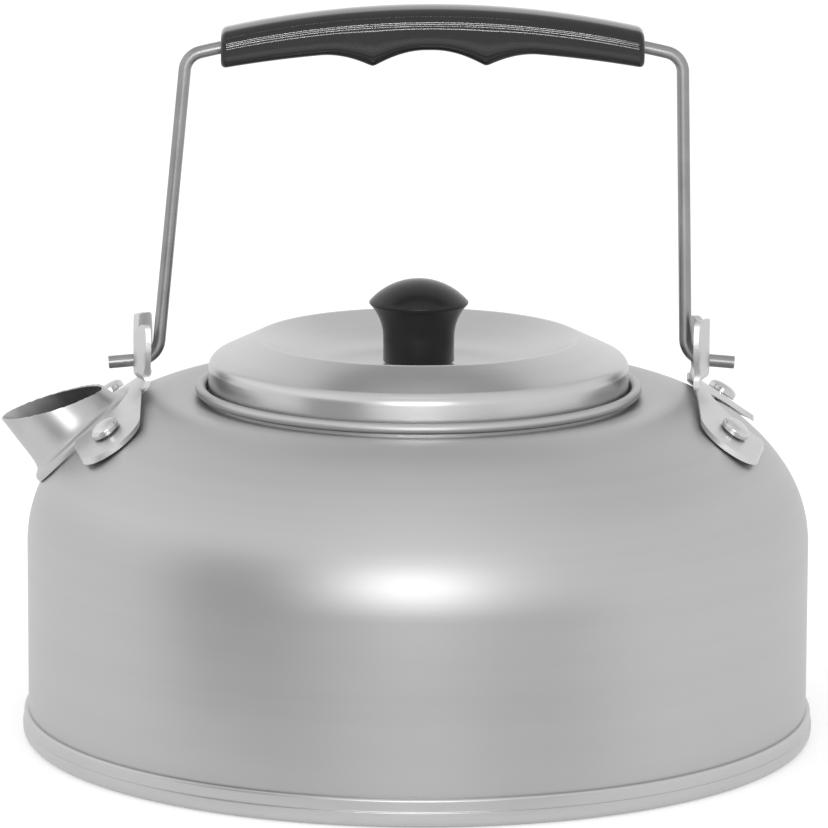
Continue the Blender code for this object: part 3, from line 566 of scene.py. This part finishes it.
makeLid()


knob = {
    "gap": 0.0003, "height": 0.0160, "rim": 0.00945, "rimEdge": 0.0003, "stem": 0.0068,
    "stemEdge": 0.0003, "stemHeight": 0.0047, "flare": 0.0097, "hollow": 0.0035,
    "hollowHeight": 0.0087, "domeSteps": 16, "steps": 72,
}


def makeKnob():
    seat, stem, edge = dishLevel + knob["gap"], knob["stem"], knob["stemEdge"]
    turn = math.degrees(math.acos(1 - (knob["rim"] - stem) / knob["flare"]))
    side = walk((stem - edge, seat), 45, [(edge * math.sqrt(2),)])
    side += walk((stem, seat + knob["stemHeight"]), 90, [(knob["flare"], -turn, 14)])
    rim = Vector((knob["rim"], side[-1].y + knob["rimEdge"]))
    top = seat + knob["height"]
    rise = top - rim.y
    radius = (rim.x ** 2 + rise ** 2) / (2 * rise)
    domeTurn = math.asin(rim.x / radius)
    count = knob["domeSteps"]
    angles = [domeTurn * (1 - step / count) for step in range(count + 1)]
    dome = [Vector((radius * math.sin(angle), top - radius * (1 - math.cos(angle))))
            for angle in angles]
    hollow = [Vector((0, seat + knob["hollowHeight"])),
              Vector((knob["hollow"], seat + knob["hollowHeight"])), Vector((knob["hollow"], seat))]
    piece = turnOnLathe("lidKnob", side + dome + hollow, knob["steps"])
    settle(piece, knobLook, "lid", "knob_plastic", "lid_knob", smooth=50)


makeKnob()
# the hidden fasteners keep their solids
fasteners = {"knob_insert": brassLook, "knob_screw": screwLook, "knob_washer": screwLook}
for node, look in fasteners.items():
    for slotPlace in frame["nodes"][node].material_slots:
        slotPlace.material = look


spout = {
    "base": 0.0095, "narrowing": 0.136, "flare": 0.0006, "flareHeight": 0.0009, "foot": 0.0011,
    "top": 0.0150, "rings": 34, "sheet": 0.00045, "mouthHeight": 0.00802, "mouthCut": 28.8,
    "flange": 0.0115, "flangeRings": ((0.0, 0.0005), (0.0002, 0.0007), (0.0007, 0.0008)),
    "crimp": (0.0002, 0.0010), "lift": 0.0004, "follow": 0.006, "search": 0.01,
    "halvings": 30, "steps": 96,
}


def spoutRadius(height):
    # a cone that flares out to its crimped foot
    flare = spout["flare"] * math.exp(-height / spout["flareHeight"])
    return spout["base"] - spout["narrowing"] * height + flare


def heightOfShell(reach):
    for outer, inner in zip(shellPath, shellPath[1:]):
        if inner.x <= reach < outer.x:
            return outer.y + (inner.y - outer.y) * (outer.x - reach) / (outer.x - inner.x)
    return shellPath[0].y if reach > shell["radius"] else shellPath[-1].y


def dropToShell(place, x, y):
    # where a point meets the crown when it slides along the spout's axis, found by halving
    lowest, highest = -spout["search"], spout["search"]
    for _ in range(spout["halvings"]):
        middle = (lowest + highest) / 2
        point = place @ Vector((x, y, middle))
        if point.z > heightOfShell(math.hypot(point.x, point.y)) + spout["lift"]:
            highest = middle
        else:
            lowest = middle
    return lowest


def makeSpout():
    place = spoutPlace()
    startFresh()
    bpy.ops.mesh.primitive_circle_add(vertices=spout["steps"], radius=spout["flange"],
                                      location=(0, 0, 0))
    piece = bpy.context.object
    piece.name = piece.data.name = "spoutTube"
    editAll()
    rings = [(spout["flange"] - inset, height) for inset, height in spout["flangeRings"]]
    rings.append((spoutRadius(0) + spout["crimp"][0], spout["crimp"][1]))
    low, count = spout["foot"], spout["rings"]
    for step in range(count + 1):
        height = low + (spout["top"] - low) * step / count
        rings.append((spoutRadius(height - low), height))
    radius, height = spout["flange"], 0.0
    for nextRadius, nextHeight in rings:
        rise = (0, 0, nextHeight - height)
        bpy.ops.mesh.extrude_region_move(TRANSFORM_OT_translate={"value": rise})
        scale = nextRadius / radius
        bpy.ops.transform.resize(value=(scale, scale, 1), center_override=(0, 0, nextHeight))
        radius, height = nextRadius, nextHeight
    bpy.ops.object.mode_set(mode="OBJECT")
    # the foot of the tube follows the crown: its rings slide along the spout's axis
    for vertex in piece.data.vertices:
        x, y, z = vertex.co
        vertex.co.z = z + max(0.0, 1.0 - z / spout["follow"]) * dropToShell(place, x, y)
    editAll()
    slant = math.radians(spout["mouthCut"])
    bpy.ops.mesh.bisect(plane_co=(0, 0, spout["mouthHeight"]), clear_outer=True,
                        plane_no=(-math.sin(slant), 0, math.cos(slant)))
    bpy.ops.object.mode_set(mode="OBJECT")
    useModifier(piece, "SOLIDIFY", thickness=spout["sheet"], offset=-1.0)
    piece.matrix_world = place
    settle(piece, spoutLook, "kettle", "spout_aluminium", "spout", smooth=40)


makeSpout()


bracket = {
    "sheet": 0.0010, "gap": 0.0003, "slope": 34.7, "sweep": 33.0, "sweepSteps": 132,
    "setback": 0.0089, "offset": 0.0006, "bend": 0.0018, "runSteps": 12, "riseSteps": 30,
    "back": 0.0086, "backCorner": 0.0054, "halfWidth": 0.0273, "front": 0.0014,
    "frontCorner": 0.0048, "tip": 0.0041, "tipCorner": 0.0010, "notch": 0.0124,
    "notchBack": 0.0061, "stripCorner": 0.0012, "earHalf": 0.0071, "earWidest": 0.0034,
    "earTip": 0.0056, "earNeck": 0.0050, "earTop": 0.0084, "earSlant": 0.0040,
    "slantRound": 0.0009, "squareRound": 0.0013, "sideRound": 0.010, "neckRound": 0.002,
    "rootRound": 0.0009, "rootStep": 0.0008, "rootWidth": 1.25, "channelDepth": 0.0021,
    "channelFloor": 0.0019, "channelHalf": 0.0063, "channelDrop": 0.0036, "runOut": 0.0016,
    "pinHole": 0.0015, "rivetHole": 0.0019, "holeSides": 48, "holeReach": 0.004, "cutReach": 0.1,
}
rivet = {
    "spread": 0.0190, "shank": 0.0016, "head": 0.00285, "headEdge": 0.0001, "seat": 0.0016,
    "wall": 0.0008, "height": 0.0019, "crownSteps": 16, "crownPower": 0.8, "tail": 0.0026,
    "tailEdge": 0.0005, "tailTop": -0.0014, "tailHeight": 0.0012, "steps": 56,
}
footPoint = crownPoint(bracket["slope"])


def rivetPlace(side, front):
    swing = math.asin(rivet["spread"] / footPoint.x)
    turned = Matrix.Rotation((0.0 if side > 0 else math.pi) - side * front * swing, 4, "Z")
    tilted = Matrix.Rotation(math.radians(bracket["slope"]), 4, "Y")
    return turned @ Matrix.Translation((footPoint.x, 0, footPoint.y)) @ tilted


def soften(share):
    share = min(max(share, 0.0), 1.0)
    return share * share * (3 - 2 * share)


def bracketLine(earRadius):
    # middle of the sheet: up the slope of the foot, round the bend and up the ear
    slope = math.radians(bracket["slope"])
    upslope = Vector((-math.cos(slope), math.sin(slope)))
    above = bracket["gap"] + bracket["sheet"] / 2
    onFoot = footPoint + Vector((math.sin(slope), math.cos(slope))) * above
    turn = 90 - bracket["slope"]
    corner = onFoot + upslope * (onFoot.x - earRadius) / math.cos(slope)
    trim = bracket["bend"] * math.tan(math.radians(turn) / 2)
    low = onFoot - upslope * 2 * bracket["back"]
    run = (corner - upslope * trim - low).length
    rise = pivotHeight + bracket["earTop"] + bracket["sheet"] - corner.y - trim
    runSteps, riseSteps = bracket["runSteps"], bracket["riseSteps"]
    moves = [(run / runSteps,)] * runSteps + [(bracket["bend"], -turn, 8)]
    return walk(low, 180 - bracket["slope"], moves + [(rise / riseSteps,)] * riseSteps)


def flatCutter(name, outline, low, high, place):
    # a closed outline pulled up from low to high, in the frame given
    cutter = pullLine(name, [Vector((x, y, low)) for x, y in outline], closed=True)
    editAll()
    bpy.ops.mesh.edge_face_add()
    bpy.ops.mesh.extrude_region_move(TRANSFORM_OT_translate={"value": (0, 0, high - low)})
    faceOutwards()
    cutter.matrix_world = place
    applyPlace(cutter)
    bpy.ops.object.mode_set(mode="EDIT")
    faceOutwards()
    return cutter


def roundCutter(radius, low, high, place):
    startFresh()
    bpy.ops.mesh.primitive_cylinder_add(vertices=bracket["holeSides"], radius=radius,
                                        depth=high - low)
    cutter = bpy.context.object
    cutter.matrix_world = place @ Matrix.Translation((0, 0, (low + high) / 2))
    return cutter


def bothHalves(half):
    return half + [(x, -y) for x, y in half[-2:0:-1]]


def footPlan(earRadius):
    # the bracket from above: ear strip, crescent foot and the notch round the spout
    back, front = footPoint.x - bracket["back"], footPoint.x + bracket["front"]
    ear, notch = bracket["rootWidth"] * bracket["earNeck"] + bracket["gap"], bracket["notch"]
    notchTop, seat = footPoint.x - bracket["notchBack"], crownPoint(shell["spoutSeat"]).x
    strip = earRadius - 2 * bracket["sheet"]
    corners = [
        (Vector((strip, ear)), 0), (Vector((back, ear)), bracket["stripCorner"]),
        (Vector((back, bracket["halfWidth"])), bracket["backCorner"]),
        (Vector((front, bracket["halfWidth"])), bracket["frontCorner"]),
        (Vector((footPoint.x + bracket["tip"], notch)), bracket["tipCorner"]),
        (Vector((notchTop, notch)), 0),
    ]
    outside = [(strip, 0)] + [(point.x, point.y) for point in roundCorners(corners, 12)[:-1]]
    turns = [math.pi / 2 * step / 20 for step in range(21)]
    depth = seat - notchTop
    inside = [(seat - depth * math.sin(turn), notch * math.cos(turn)) for turn in turns]
    return bothHalves(outside + inside)


def earFront():
    # the bracket along X: one half of the ear's top is slanted, the other nearly square
    top, neck = pivotHeight + bracket["earTop"], pivotHeight - bracket["channelDrop"]
    low, wide = footPoint.y - 2 * bracket["back"], bracket["halfWidth"] + bracket["sheet"]
    root, rootHalf = bracket["rootStep"], bracket["rootWidth"] * bracket["earNeck"]
    widest = pivotHeight + bracket["earWidest"]

    def half(first, sign, tipRound):
        corners = [
            (Vector(first), 0), (Vector((top, bracket["earTip"])), tipRound),
            (Vector((widest, bracket["earHalf"])), bracket["sideRound"]),
            (Vector((neck + bracket["sheet"], bracket["earNeck"])), bracket["neckRound"]),
            (Vector((neck - root, rootHalf)), bracket["rootRound"]),
            (Vector((neck - 2 * root, wide)), 0), (Vector((low, wide)), 0),
        ]
        return [(point.x, sign * point.y) for point in roundCorners(corners, 8)]

    slantStart = (top - bracket["earSlant"], bracket["channelFloor"] / 2)
    slanted = half(slantStart, 1, bracket["slantRound"])
    square = half((top, bracket["channelFloor"]), -1, bracket["squareRound"])
    return slanted + square[::-1]


def makeBracket(side, name, node):
    earRadius = footPoint.x - bracket["setback"] + side * bracket["offset"]
    sweep = math.radians(bracket["sweep"])
    piece = pullLine(name, [Vector((point.x, 0, point.y)) for point in bracketLine(earRadius)])
    piece.rotation_euler.z = -sweep
    applyPlace(piece)
    editAll()
    bpy.ops.mesh.spin(steps=bracket["sweepSteps"], angle=-2 * sweep, center=(0, 0, 0),
                      axis=(0, 0, 1))
    faceOutwards(sweptMerge)
    # the channel that takes the leg of the wire is pressed outwards
    foot = pivotHeight - bracket["channelDrop"]
    flankWidth = bracket["channelHalf"] - bracket["channelFloor"]
    for vertex in piece.data.vertices:
        if vertex.co.x < 0:
            continue
        flank = (bracket["channelHalf"] - abs(vertex.co.y)) / flankWidth
        ramp = (vertex.co.z - foot) / bracket["runOut"]
        vertex.co.x += bracket["channelDepth"] * soften(flank) * soften(ramp)
    useModifier(piece, "SOLIDIFY", thickness=bracket["sheet"], offset=0.0)
    high, reach = pivotHeight + 2 * bracket["earTop"], bracket["cutReach"]
    alongX = Matrix.Rotation(math.pi / 2, 4, "Y")
    atPivot = Matrix.Translation((0, 0, pivotHeight)) @ alongX
    facingX = Matrix.Rotation(-math.pi / 2, 4, "Y")
    cutters = [
        (flatCutter("footCutter", footPlan(earRadius), 0.0, high, Matrix.Identity(4)), "INTERSECT"),
        (flatCutter("earCutter", earFront(), -reach, 0.0, facingX), "INTERSECT"),
        (roundCutter(bracket["pinHole"], 0.0, reach, atPivot), "DIFFERENCE"),
    ]
    depth = bracket["holeReach"]
    for front in (1, -1):
        hole = roundCutter(bracket["rivetHole"], -depth, depth, rivetPlace(1, front))
        cutters.append((hole, "DIFFERENCE"))
    for cutter, kind in cutters:
        useModifier(piece, "BOOLEAN", operation=kind, solver="EXACT", object=cutter)
        throwAway(cutter)
    if side < 0:
        piece.rotation_euler.z = math.pi
    settle(piece, bracketLook, "kettle", "bracket_aluminium", node, smooth=32)


def makeRivets():
    # drawn once: formed tail, shank and a barrel head with a soft crown
    seat, head, shank, tail = (rivet[key] for key in ("seat", "head", "shank", "tail"))
    headEdge, tailEdge, tailTop = rivet["headEdge"], rivet["tailEdge"], rivet["tailTop"]
    low, top, shoulder = tailTop - rivet["tailHeight"], seat + rivet["height"], seat + rivet["wall"]
    outline = [(0, low), (tail - tailEdge, low), (tail, low + tailEdge), (tail, tailTop),
               (shank, tailTop), (shank, seat), (head - headEdge, seat), (head, seat + headEdge)]
    section = [Vector(point) for point in outline]
    count = rivet["crownSteps"]
    for step in range(count + 1):
        turn = math.pi / 2 * step / count
        reach = head * math.cos(turn) ** rivet["crownPower"] if step < count else 0.0
        section.append(Vector((reach, shoulder + (top - shoulder) * math.sin(turn))))
    first = turnOnLathe("rivet", section, rivet["steps"])
    for side, sideName in ((1, "right"), (-1, "left")):
        for front, endName in ((1, "Front"), (-1, "Rear")):
            piece = bpy.data.objects.new(f"{sideName}{endName}Rivet", first.data.copy())
            bpy.context.scene.collection.objects.link(piece)
            piece.matrix_world = rivetPlace(side, front)
            node = f"{sideName}_{endName.lower()}_rivet"
            settle(piece, rivetLook, "kettle", "rivet_aluminium", node, smooth=40)
    throwAway(first)


makeBracket(1, "rightBracket", "right_bracket")
makeBracket(-1, "leftBracket", "left_bracket")
makeRivets()


bail = {
    "wire": 0.0012, "reach": 0.0643, "lean": 3.03, "arc": 0.1950, "arcSteps": 40,
    "shift": 0.0028, "pinReach": 0.0047, "droop": 5.0, "pinBend": 0.0042, "topBend": 0.0039,
    "bendSteps": 14, "roundness": 7, "chamfer": 0.00025, "chamferSteps": 3,
}
grip = {
    "shift": -0.00045, "depth": 0.0126, "above": 0.0038, "below": 0.0041, "crown": 0.00015,
    "crownSteps": 6, "topRound": 0.0029, "topTurn": 78, "underRound": 0.0018,
    "sideStep": 0.0010, "step": 0.0001, "stepHeight": 0.0008, "stepEase": 0.00002,
    "stepRise": (0.00005, 0.00006), "stepDrop": 0.00008, "endRound": 0.0011,
    "topThinning": 0.0003, "underThinning": 0.0007, "ridgeShift": -0.0006,
    "ridgeSpacing": 0.02135, "ridgeHeight": 0.00270, "ridgeFlank": 0.0095, "ridgePower": 1.9,
    "ridgeRound": 0.0004, "endPlay": 0.0003, "stations": 260, "crowding": 1.56,
}
channelBack = footPoint.x - bracket["setback"] - bracket["sheet"] / 2
legSpread = channelBack - bracket["gap"] - bail["wire"]
bailShoulder = legSpread - bail["reach"] * math.tan(math.radians(bail["lean"]))


def arcDrop(along):
    return bail["arc"] - math.sqrt(bail["arc"] ** 2 - along ** 2)


def makeWire():
    earOutside = footPoint.x - bracket["setback"] + bracket["channelDepth"]
    tipPlace = earOutside + bracket["sheet"] / 2 + bail["pinReach"]
    droop = math.tan(math.radians(bail["droop"]))
    tip = Vector((tipPlace, 0, -droop * (tipPlace - earOutside)))
    foot = Vector((legSpread, 0, droop * (earOutside - legSpread)))
    aside = Vector((bracket["offset"], 0, 0))
    flip = Matrix.Diagonal((-1, 1, 1))
    count, pinBend, topBend = bail["arcSteps"], bail["pinBend"], bail["topBend"]
    along = [bailShoulder * (2 * step / count - 1) for step in range(count + 1)]
    top = [Vector((x + bail["shift"], 0, bail["reach"] - arcDrop(x))) for x in along]
    corners = [(flip @ tip + aside, 0), (flip @ foot + aside, pinBend), (top[0], topBend)]
    corners += [(point, 0) for point in top[2:-2]]
    corners += [(top[-1], topBend), (foot + aside, pinBend), (tip + aside, 0)]
    line = roundCorners(corners, bail["bendSteps"])
    piece = pullLine("bailWire", [point + Vector((0, 0, pivotHeight)) for point in line])
    makeActive(piece)
    bpy.ops.object.convert(target="CURVE")
    piece = bpy.context.object
    piece.data.bevel_depth = bail["wire"]
    piece.data.bevel_resolution = bail["roundness"]
    piece.data.use_fill_caps = True
    bpy.ops.object.convert(target="MESH")
    piece = bpy.context.object
    piece.name = piece.data.name = "bailWire"
    bpy.ops.object.mode_set(mode="EDIT")
    faceOutwards(sweptMerge)
    bpy.ops.object.mode_set(mode="EDIT")
    bpy.ops.mesh.select_all(action="DESELECT")
    bpy.ops.object.mode_set(mode="OBJECT")
    # only the two caps have this many corners, and only they are chamfered
    for face in piece.data.polygons:
        face.select = len(face.vertices) > 6
    bpy.ops.object.mode_set(mode="EDIT")
    bpy.ops.mesh.bevel(offset=bail["chamfer"], segments=bail["chamferSteps"], affect="EDGES")
    bpy.ops.object.mode_set(mode="OBJECT")
    settle(piece, wireLook, "bail", "bail_steel", "bail_wire", smooth=40)


def gripOutline():
    # half of the section from the middle of its underside to the middle of its top, then mirrored
    side, under, up = grip["depth"] / 2, grip["underRound"], grip["sideStep"]
    third = (side - under) / 3
    upright = grip["below"] - under + grip["stepHeight"] - 2 * up - grip["stepDrop"]
    half = walk((0.0, -grip["below"]), 0, [
        (third,), (third,), (third,), (under, 90, 9), (up,), (up,), (upright,),
    ])
    stepFoot = half[-1]
    for inset, rise in zip((grip["stepEase"], grip["step"] - grip["stepEase"]), grip["stepRise"]):
        half.append(stepFoot + Vector((-inset, rise)))
    top = [(grip["topRound"], grip["topTurn"], 14)]
    half += walk((side - grip["step"], grip["stepHeight"]), 90, top)
    last = half[-1]
    rise = grip["above"] + grip["crown"] - last.y
    for step in range(1, grip["crownSteps"] + 1):
        share = step / grip["crownSteps"]
        lift = rise * math.sin(math.pi / 2 * share)
        half.append(Vector((last.x * (1 - share), last.y + lift)))
    return [(point.x, point.y) for point in half] + [(-point.x, point.y) for point in half[-2:0:-1]]


def ridgeDepth(place):
    away = abs(abs(place - grip["ridgeShift"]) - grip["ridgeSpacing"] / 2)
    away = (math.hypot(away, grip["ridgeRound"]) - grip["ridgeRound"]) / grip["ridgeFlank"]
    return grip["ridgeHeight"] * (1 - away) ** grip["ridgePower"] if away < 1 else 0.0


def makeGrip():
    low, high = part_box("bail_grip")
    half = (high.x - low.x) / 2 - grip["endPlay"]
    line = [Vector((0, y, z)) for y, z in gripOutline()]
    piece = pullLine("bailGrip", line, closed=True)
    useModifier(piece, "SCREW", angle=0.0, screw_offset=2 * half, steps=grip["stations"],
                render_steps=grip["stations"], axis="X", iterations=1)
    # stations crowd towards the rounded ends, and the straight bar is then bent, thinned and
    # given its finger ridges
    crowding, endRound = grip["crowding"], grip["endRound"]
    for vertex in piece.data.vertices:
        place = half * math.sin(crowding * (vertex.co.x / half - 1)) / math.sin(crowding)
        y, z = vertex.co.y, vertex.co.z
        fromEnd = min(half - abs(place), endRound)
        inset = endRound - math.sqrt(max(endRound ** 2 - (endRound - fromEnd) ** 2, 0.0))
        share = (place / half) ** 2
        if z > 0:
            z *= 1 - grip["topThinning"] / grip["above"] * share
        else:
            thinning = grip["underThinning"] / grip["below"] * share
            z *= 1 - thinning + ridgeDepth(place) / grip["below"]
        y *= 1 - inset / (grip["depth"] / 2)
        z *= 1 - inset / grip["below"]
        along = place + grip["shift"]
        height = pivotHeight + bail["reach"] - arcDrop(along) + z
        vertex.co = (along + bail["shift"], y, height)
    makeActive(piece)
    editAll()
    bpy.ops.mesh.remove_doubles(threshold=sweptMerge)
    bpy.ops.mesh.fill_holes(sides=0)
    faceOutwards()
    settle(piece, gripLook, "bail", "grip_plastic", "bail_grip", smooth=40)


makeWire()
makeGrip()


studio = {
    "floorSize": 12.0, "floorColour": 0.70, "floorLift": 0.42, "mirrorLift": 0.33, "matte": 0.9,
    "front": 1.0, "high": 0.93, "behindHigh": 0.80, "leftGlow": 0.22, "lampAim": (0, 0, 0.05),
    "behind": (-0.25, 0.25), "backFade": (0.45, 0.82), "frontFade": (0.30, 0.95),
    "zenith": (0.90, 1.0), "glowAcross": (-0.85, -0.30), "glowUp": (0.15, 0.50),
}
cards = {
    "darkCard": {"place": (-0.101, -0.112, 0.050), "size": (0.085, 0.100), "lean": 90.0,
                 "turn": -43.0, "colour": 0.47},
    "lowCard": {"place": (0.01, -0.160, 0.01825), "size": (0.26, 0.0365), "lean": 90.0,
                "turn": 0.0, "colour": 0.50},
    "footCard": {"place": (0.015, -0.118, 0.0004), "size": (0.17, 0.070), "lean": 0.0,
                 "turn": 0.0, "colour": 0.80},
}
lamps = {
    "frontBox": {"place": (-0.028, -0.85, 0.355), "size": (0.36, 0.016), "power": 1.10},
    "lowBox": {"place": (-0.028, -0.85, 0.180), "size": (0.36, 0.016), "power": 0.62},
    "topStrip": {"place": (-0.06, -0.42, 0.93), "size": (0.40, 0.006), "power": 0.11},
}
camera = {
    "place": (-0.0251, -1.207, 0.2985), "swing": -0.0201, "dip": 0.1934, "roll": 0.004,
    "lens": 279.7, "sensor": 36.0, "nearest": 0.01, "farthest": 30.0,
}


def dullLook(name, colour):
    # no shine, and white light of its own whose strength is set later
    made = bpy.data.materials.new(name)
    made.use_nodes = True
    shader = made.node_tree.nodes["Principled BSDF"]
    shader.inputs["Base Color"].default_value = (colour, colour, colour, 1.0)
    shader.inputs["Roughness"].default_value = studio["matte"]
    shader.inputs["Specular IOR Level"].default_value = 0.0
    shader.inputs["Emission Color"].default_value = (1.0, 1.0, 1.0, 1.0)
    return made, shader.inputs["Emission Strength"]


def makeFloor():
    startFresh()
    bpy.ops.mesh.primitive_plane_add(size=studio["floorSize"], location=(0, 0, 0))
    floor = bpy.context.object
    floor.name = floor.data.name = "floor"
    made, strength = dullLook("whiteFloor", studio["floorColour"])
    tree = made.node_tree
    path = tree.nodes.new("ShaderNodeLightPath")
    seen, glossy = path.outputs["Is Camera Ray"], path.outputs["Is Glossy Ray"]
    mirrored = sums(tree, "MAXIMUM", glossy, path.outputs["Is Transmission Ray"])
    lift = sums(tree, "MAXIMUM", sums(tree, "MULTIPLY", seen, studio["floorLift"]),
                sums(tree, "MULTIPLY", mirrored, studio["mirrorLift"]))
    tree.links.new(lift, strength)
    floor.data.materials.append(made)


def makeCard(name, card):
    # a grey card beside the kettle that only reflections see
    startFresh()
    turned = (math.radians(card["lean"]), 0, math.radians(card["turn"]))
    bpy.ops.mesh.primitive_plane_add(size=1.0, location=card["place"], rotation=turned)
    piece = bpy.context.object
    piece.name = piece.data.name = name
    piece.scale = (*card["size"], 1.0)
    made, strength = dullLook(name, 0.0)
    strength.default_value = card["colour"]
    piece.data.materials.append(made)
    piece.visible_camera = False
    piece.visible_diffuse = False
    piece.visible_shadow = False


def makeWorld():
    # a white studio: a little darker in front, overhead, and high up behind
    world = bpy.data.worlds.new("studio")
    bpy.context.scene.world = world
    world.use_nodes = True
    tree = world.node_tree
    back = tree.nodes["Background"]
    place = tree.nodes.new("ShaderNodeTexCoord")
    split = tree.nodes.new("ShaderNodeSeparateXYZ")
    tree.links.new(place.outputs["Generated"], split.inputs[0])
    x, y, z = (split.outputs[axis] for axis in "XYZ")

    def fade(source, limits, first, last):
        # smoothly from first to last between two limits of the direction
        return remap(tree, source, studio[limits], (first, last), interpolation_type="SMOOTHSTEP")

    behind = fade(y, "behind", 0.0, 1.0)
    dimBack = fade(z, "backFade", 1.0, studio["behindHigh"])
    dimFront = fade(z, "frontFade", studio["front"], studio["high"])
    zenith = fade(z, "zenith", 0.0, studio["high"] - studio["behindHigh"])
    backPart = sums(tree, "MULTIPLY", behind, sums(tree, "ADD", dimBack, zenith))
    frontPart = sums(tree, "MULTIPLY", sums(tree, "SUBTRACT", 1.0, behind), dimFront)
    leftPart = sums(tree, "MULTIPLY", fade(x, "glowAcross", studio["leftGlow"], 0.0),
                    fade(z, "glowUp", 0.0, 1.0))
    path = tree.nodes.new("ShaderNodeLightPath")
    around = sums(tree, "ADD", sums(tree, "ADD", backPart, frontPart), leftPart)
    level = sums(tree, "MAXIMUM", path.outputs["Is Camera Ray"], around)
    tree.links.new(level, back.inputs["Strength"])
    back.inputs["Color"].default_value = (1.0, 1.0, 1.0, 1.0)


def addLamp(name, values):
    place = Vector(values["place"])
    startFresh()
    bpy.ops.object.light_add(type="AREA", location=place)
    lamp = bpy.context.object
    lamp.name = lamp.data.name = name
    lamp.data.shape = "RECTANGLE"
    lamp.data.size, lamp.data.size_y = values["size"]
    lamp.data.energy = values["power"]
    lamp.visible_camera = False
    aim = Vector(studio["lampAim"]) - place
    lamp.rotation_euler = aim.to_track_quat("-Z", "Y").to_euler()


def makeCamera():
    startFresh()
    bpy.ops.object.camera_add()
    eye = bpy.context.object
    eye.name = eye.data.name = "photoCamera"
    swung = Matrix.Translation(camera["place"]) @ Matrix.Rotation(camera["swing"], 4, "Z")
    dipped = swung @ Matrix.Rotation(math.radians(90) - camera["dip"], 4, "X")
    eye.matrix_world = dipped @ Matrix.Rotation(camera["roll"], 4, "Z")
    eye.data.lens = camera["lens"]
    eye.data.sensor_width = camera["sensor"]
    eye.data.clip_start = camera["nearest"]
    eye.data.clip_end = camera["farthest"]
    bpy.context.scene.camera = eye


makeFloor()
for name, card in cards.items():
    makeCard(name, card)
makeWorld()
for name, lamp in lamps.items():
    addLamp(name, lamp)
makeCamera()
bpy.context.scene.view_settings.view_transform = "Standard"
print("studio made")
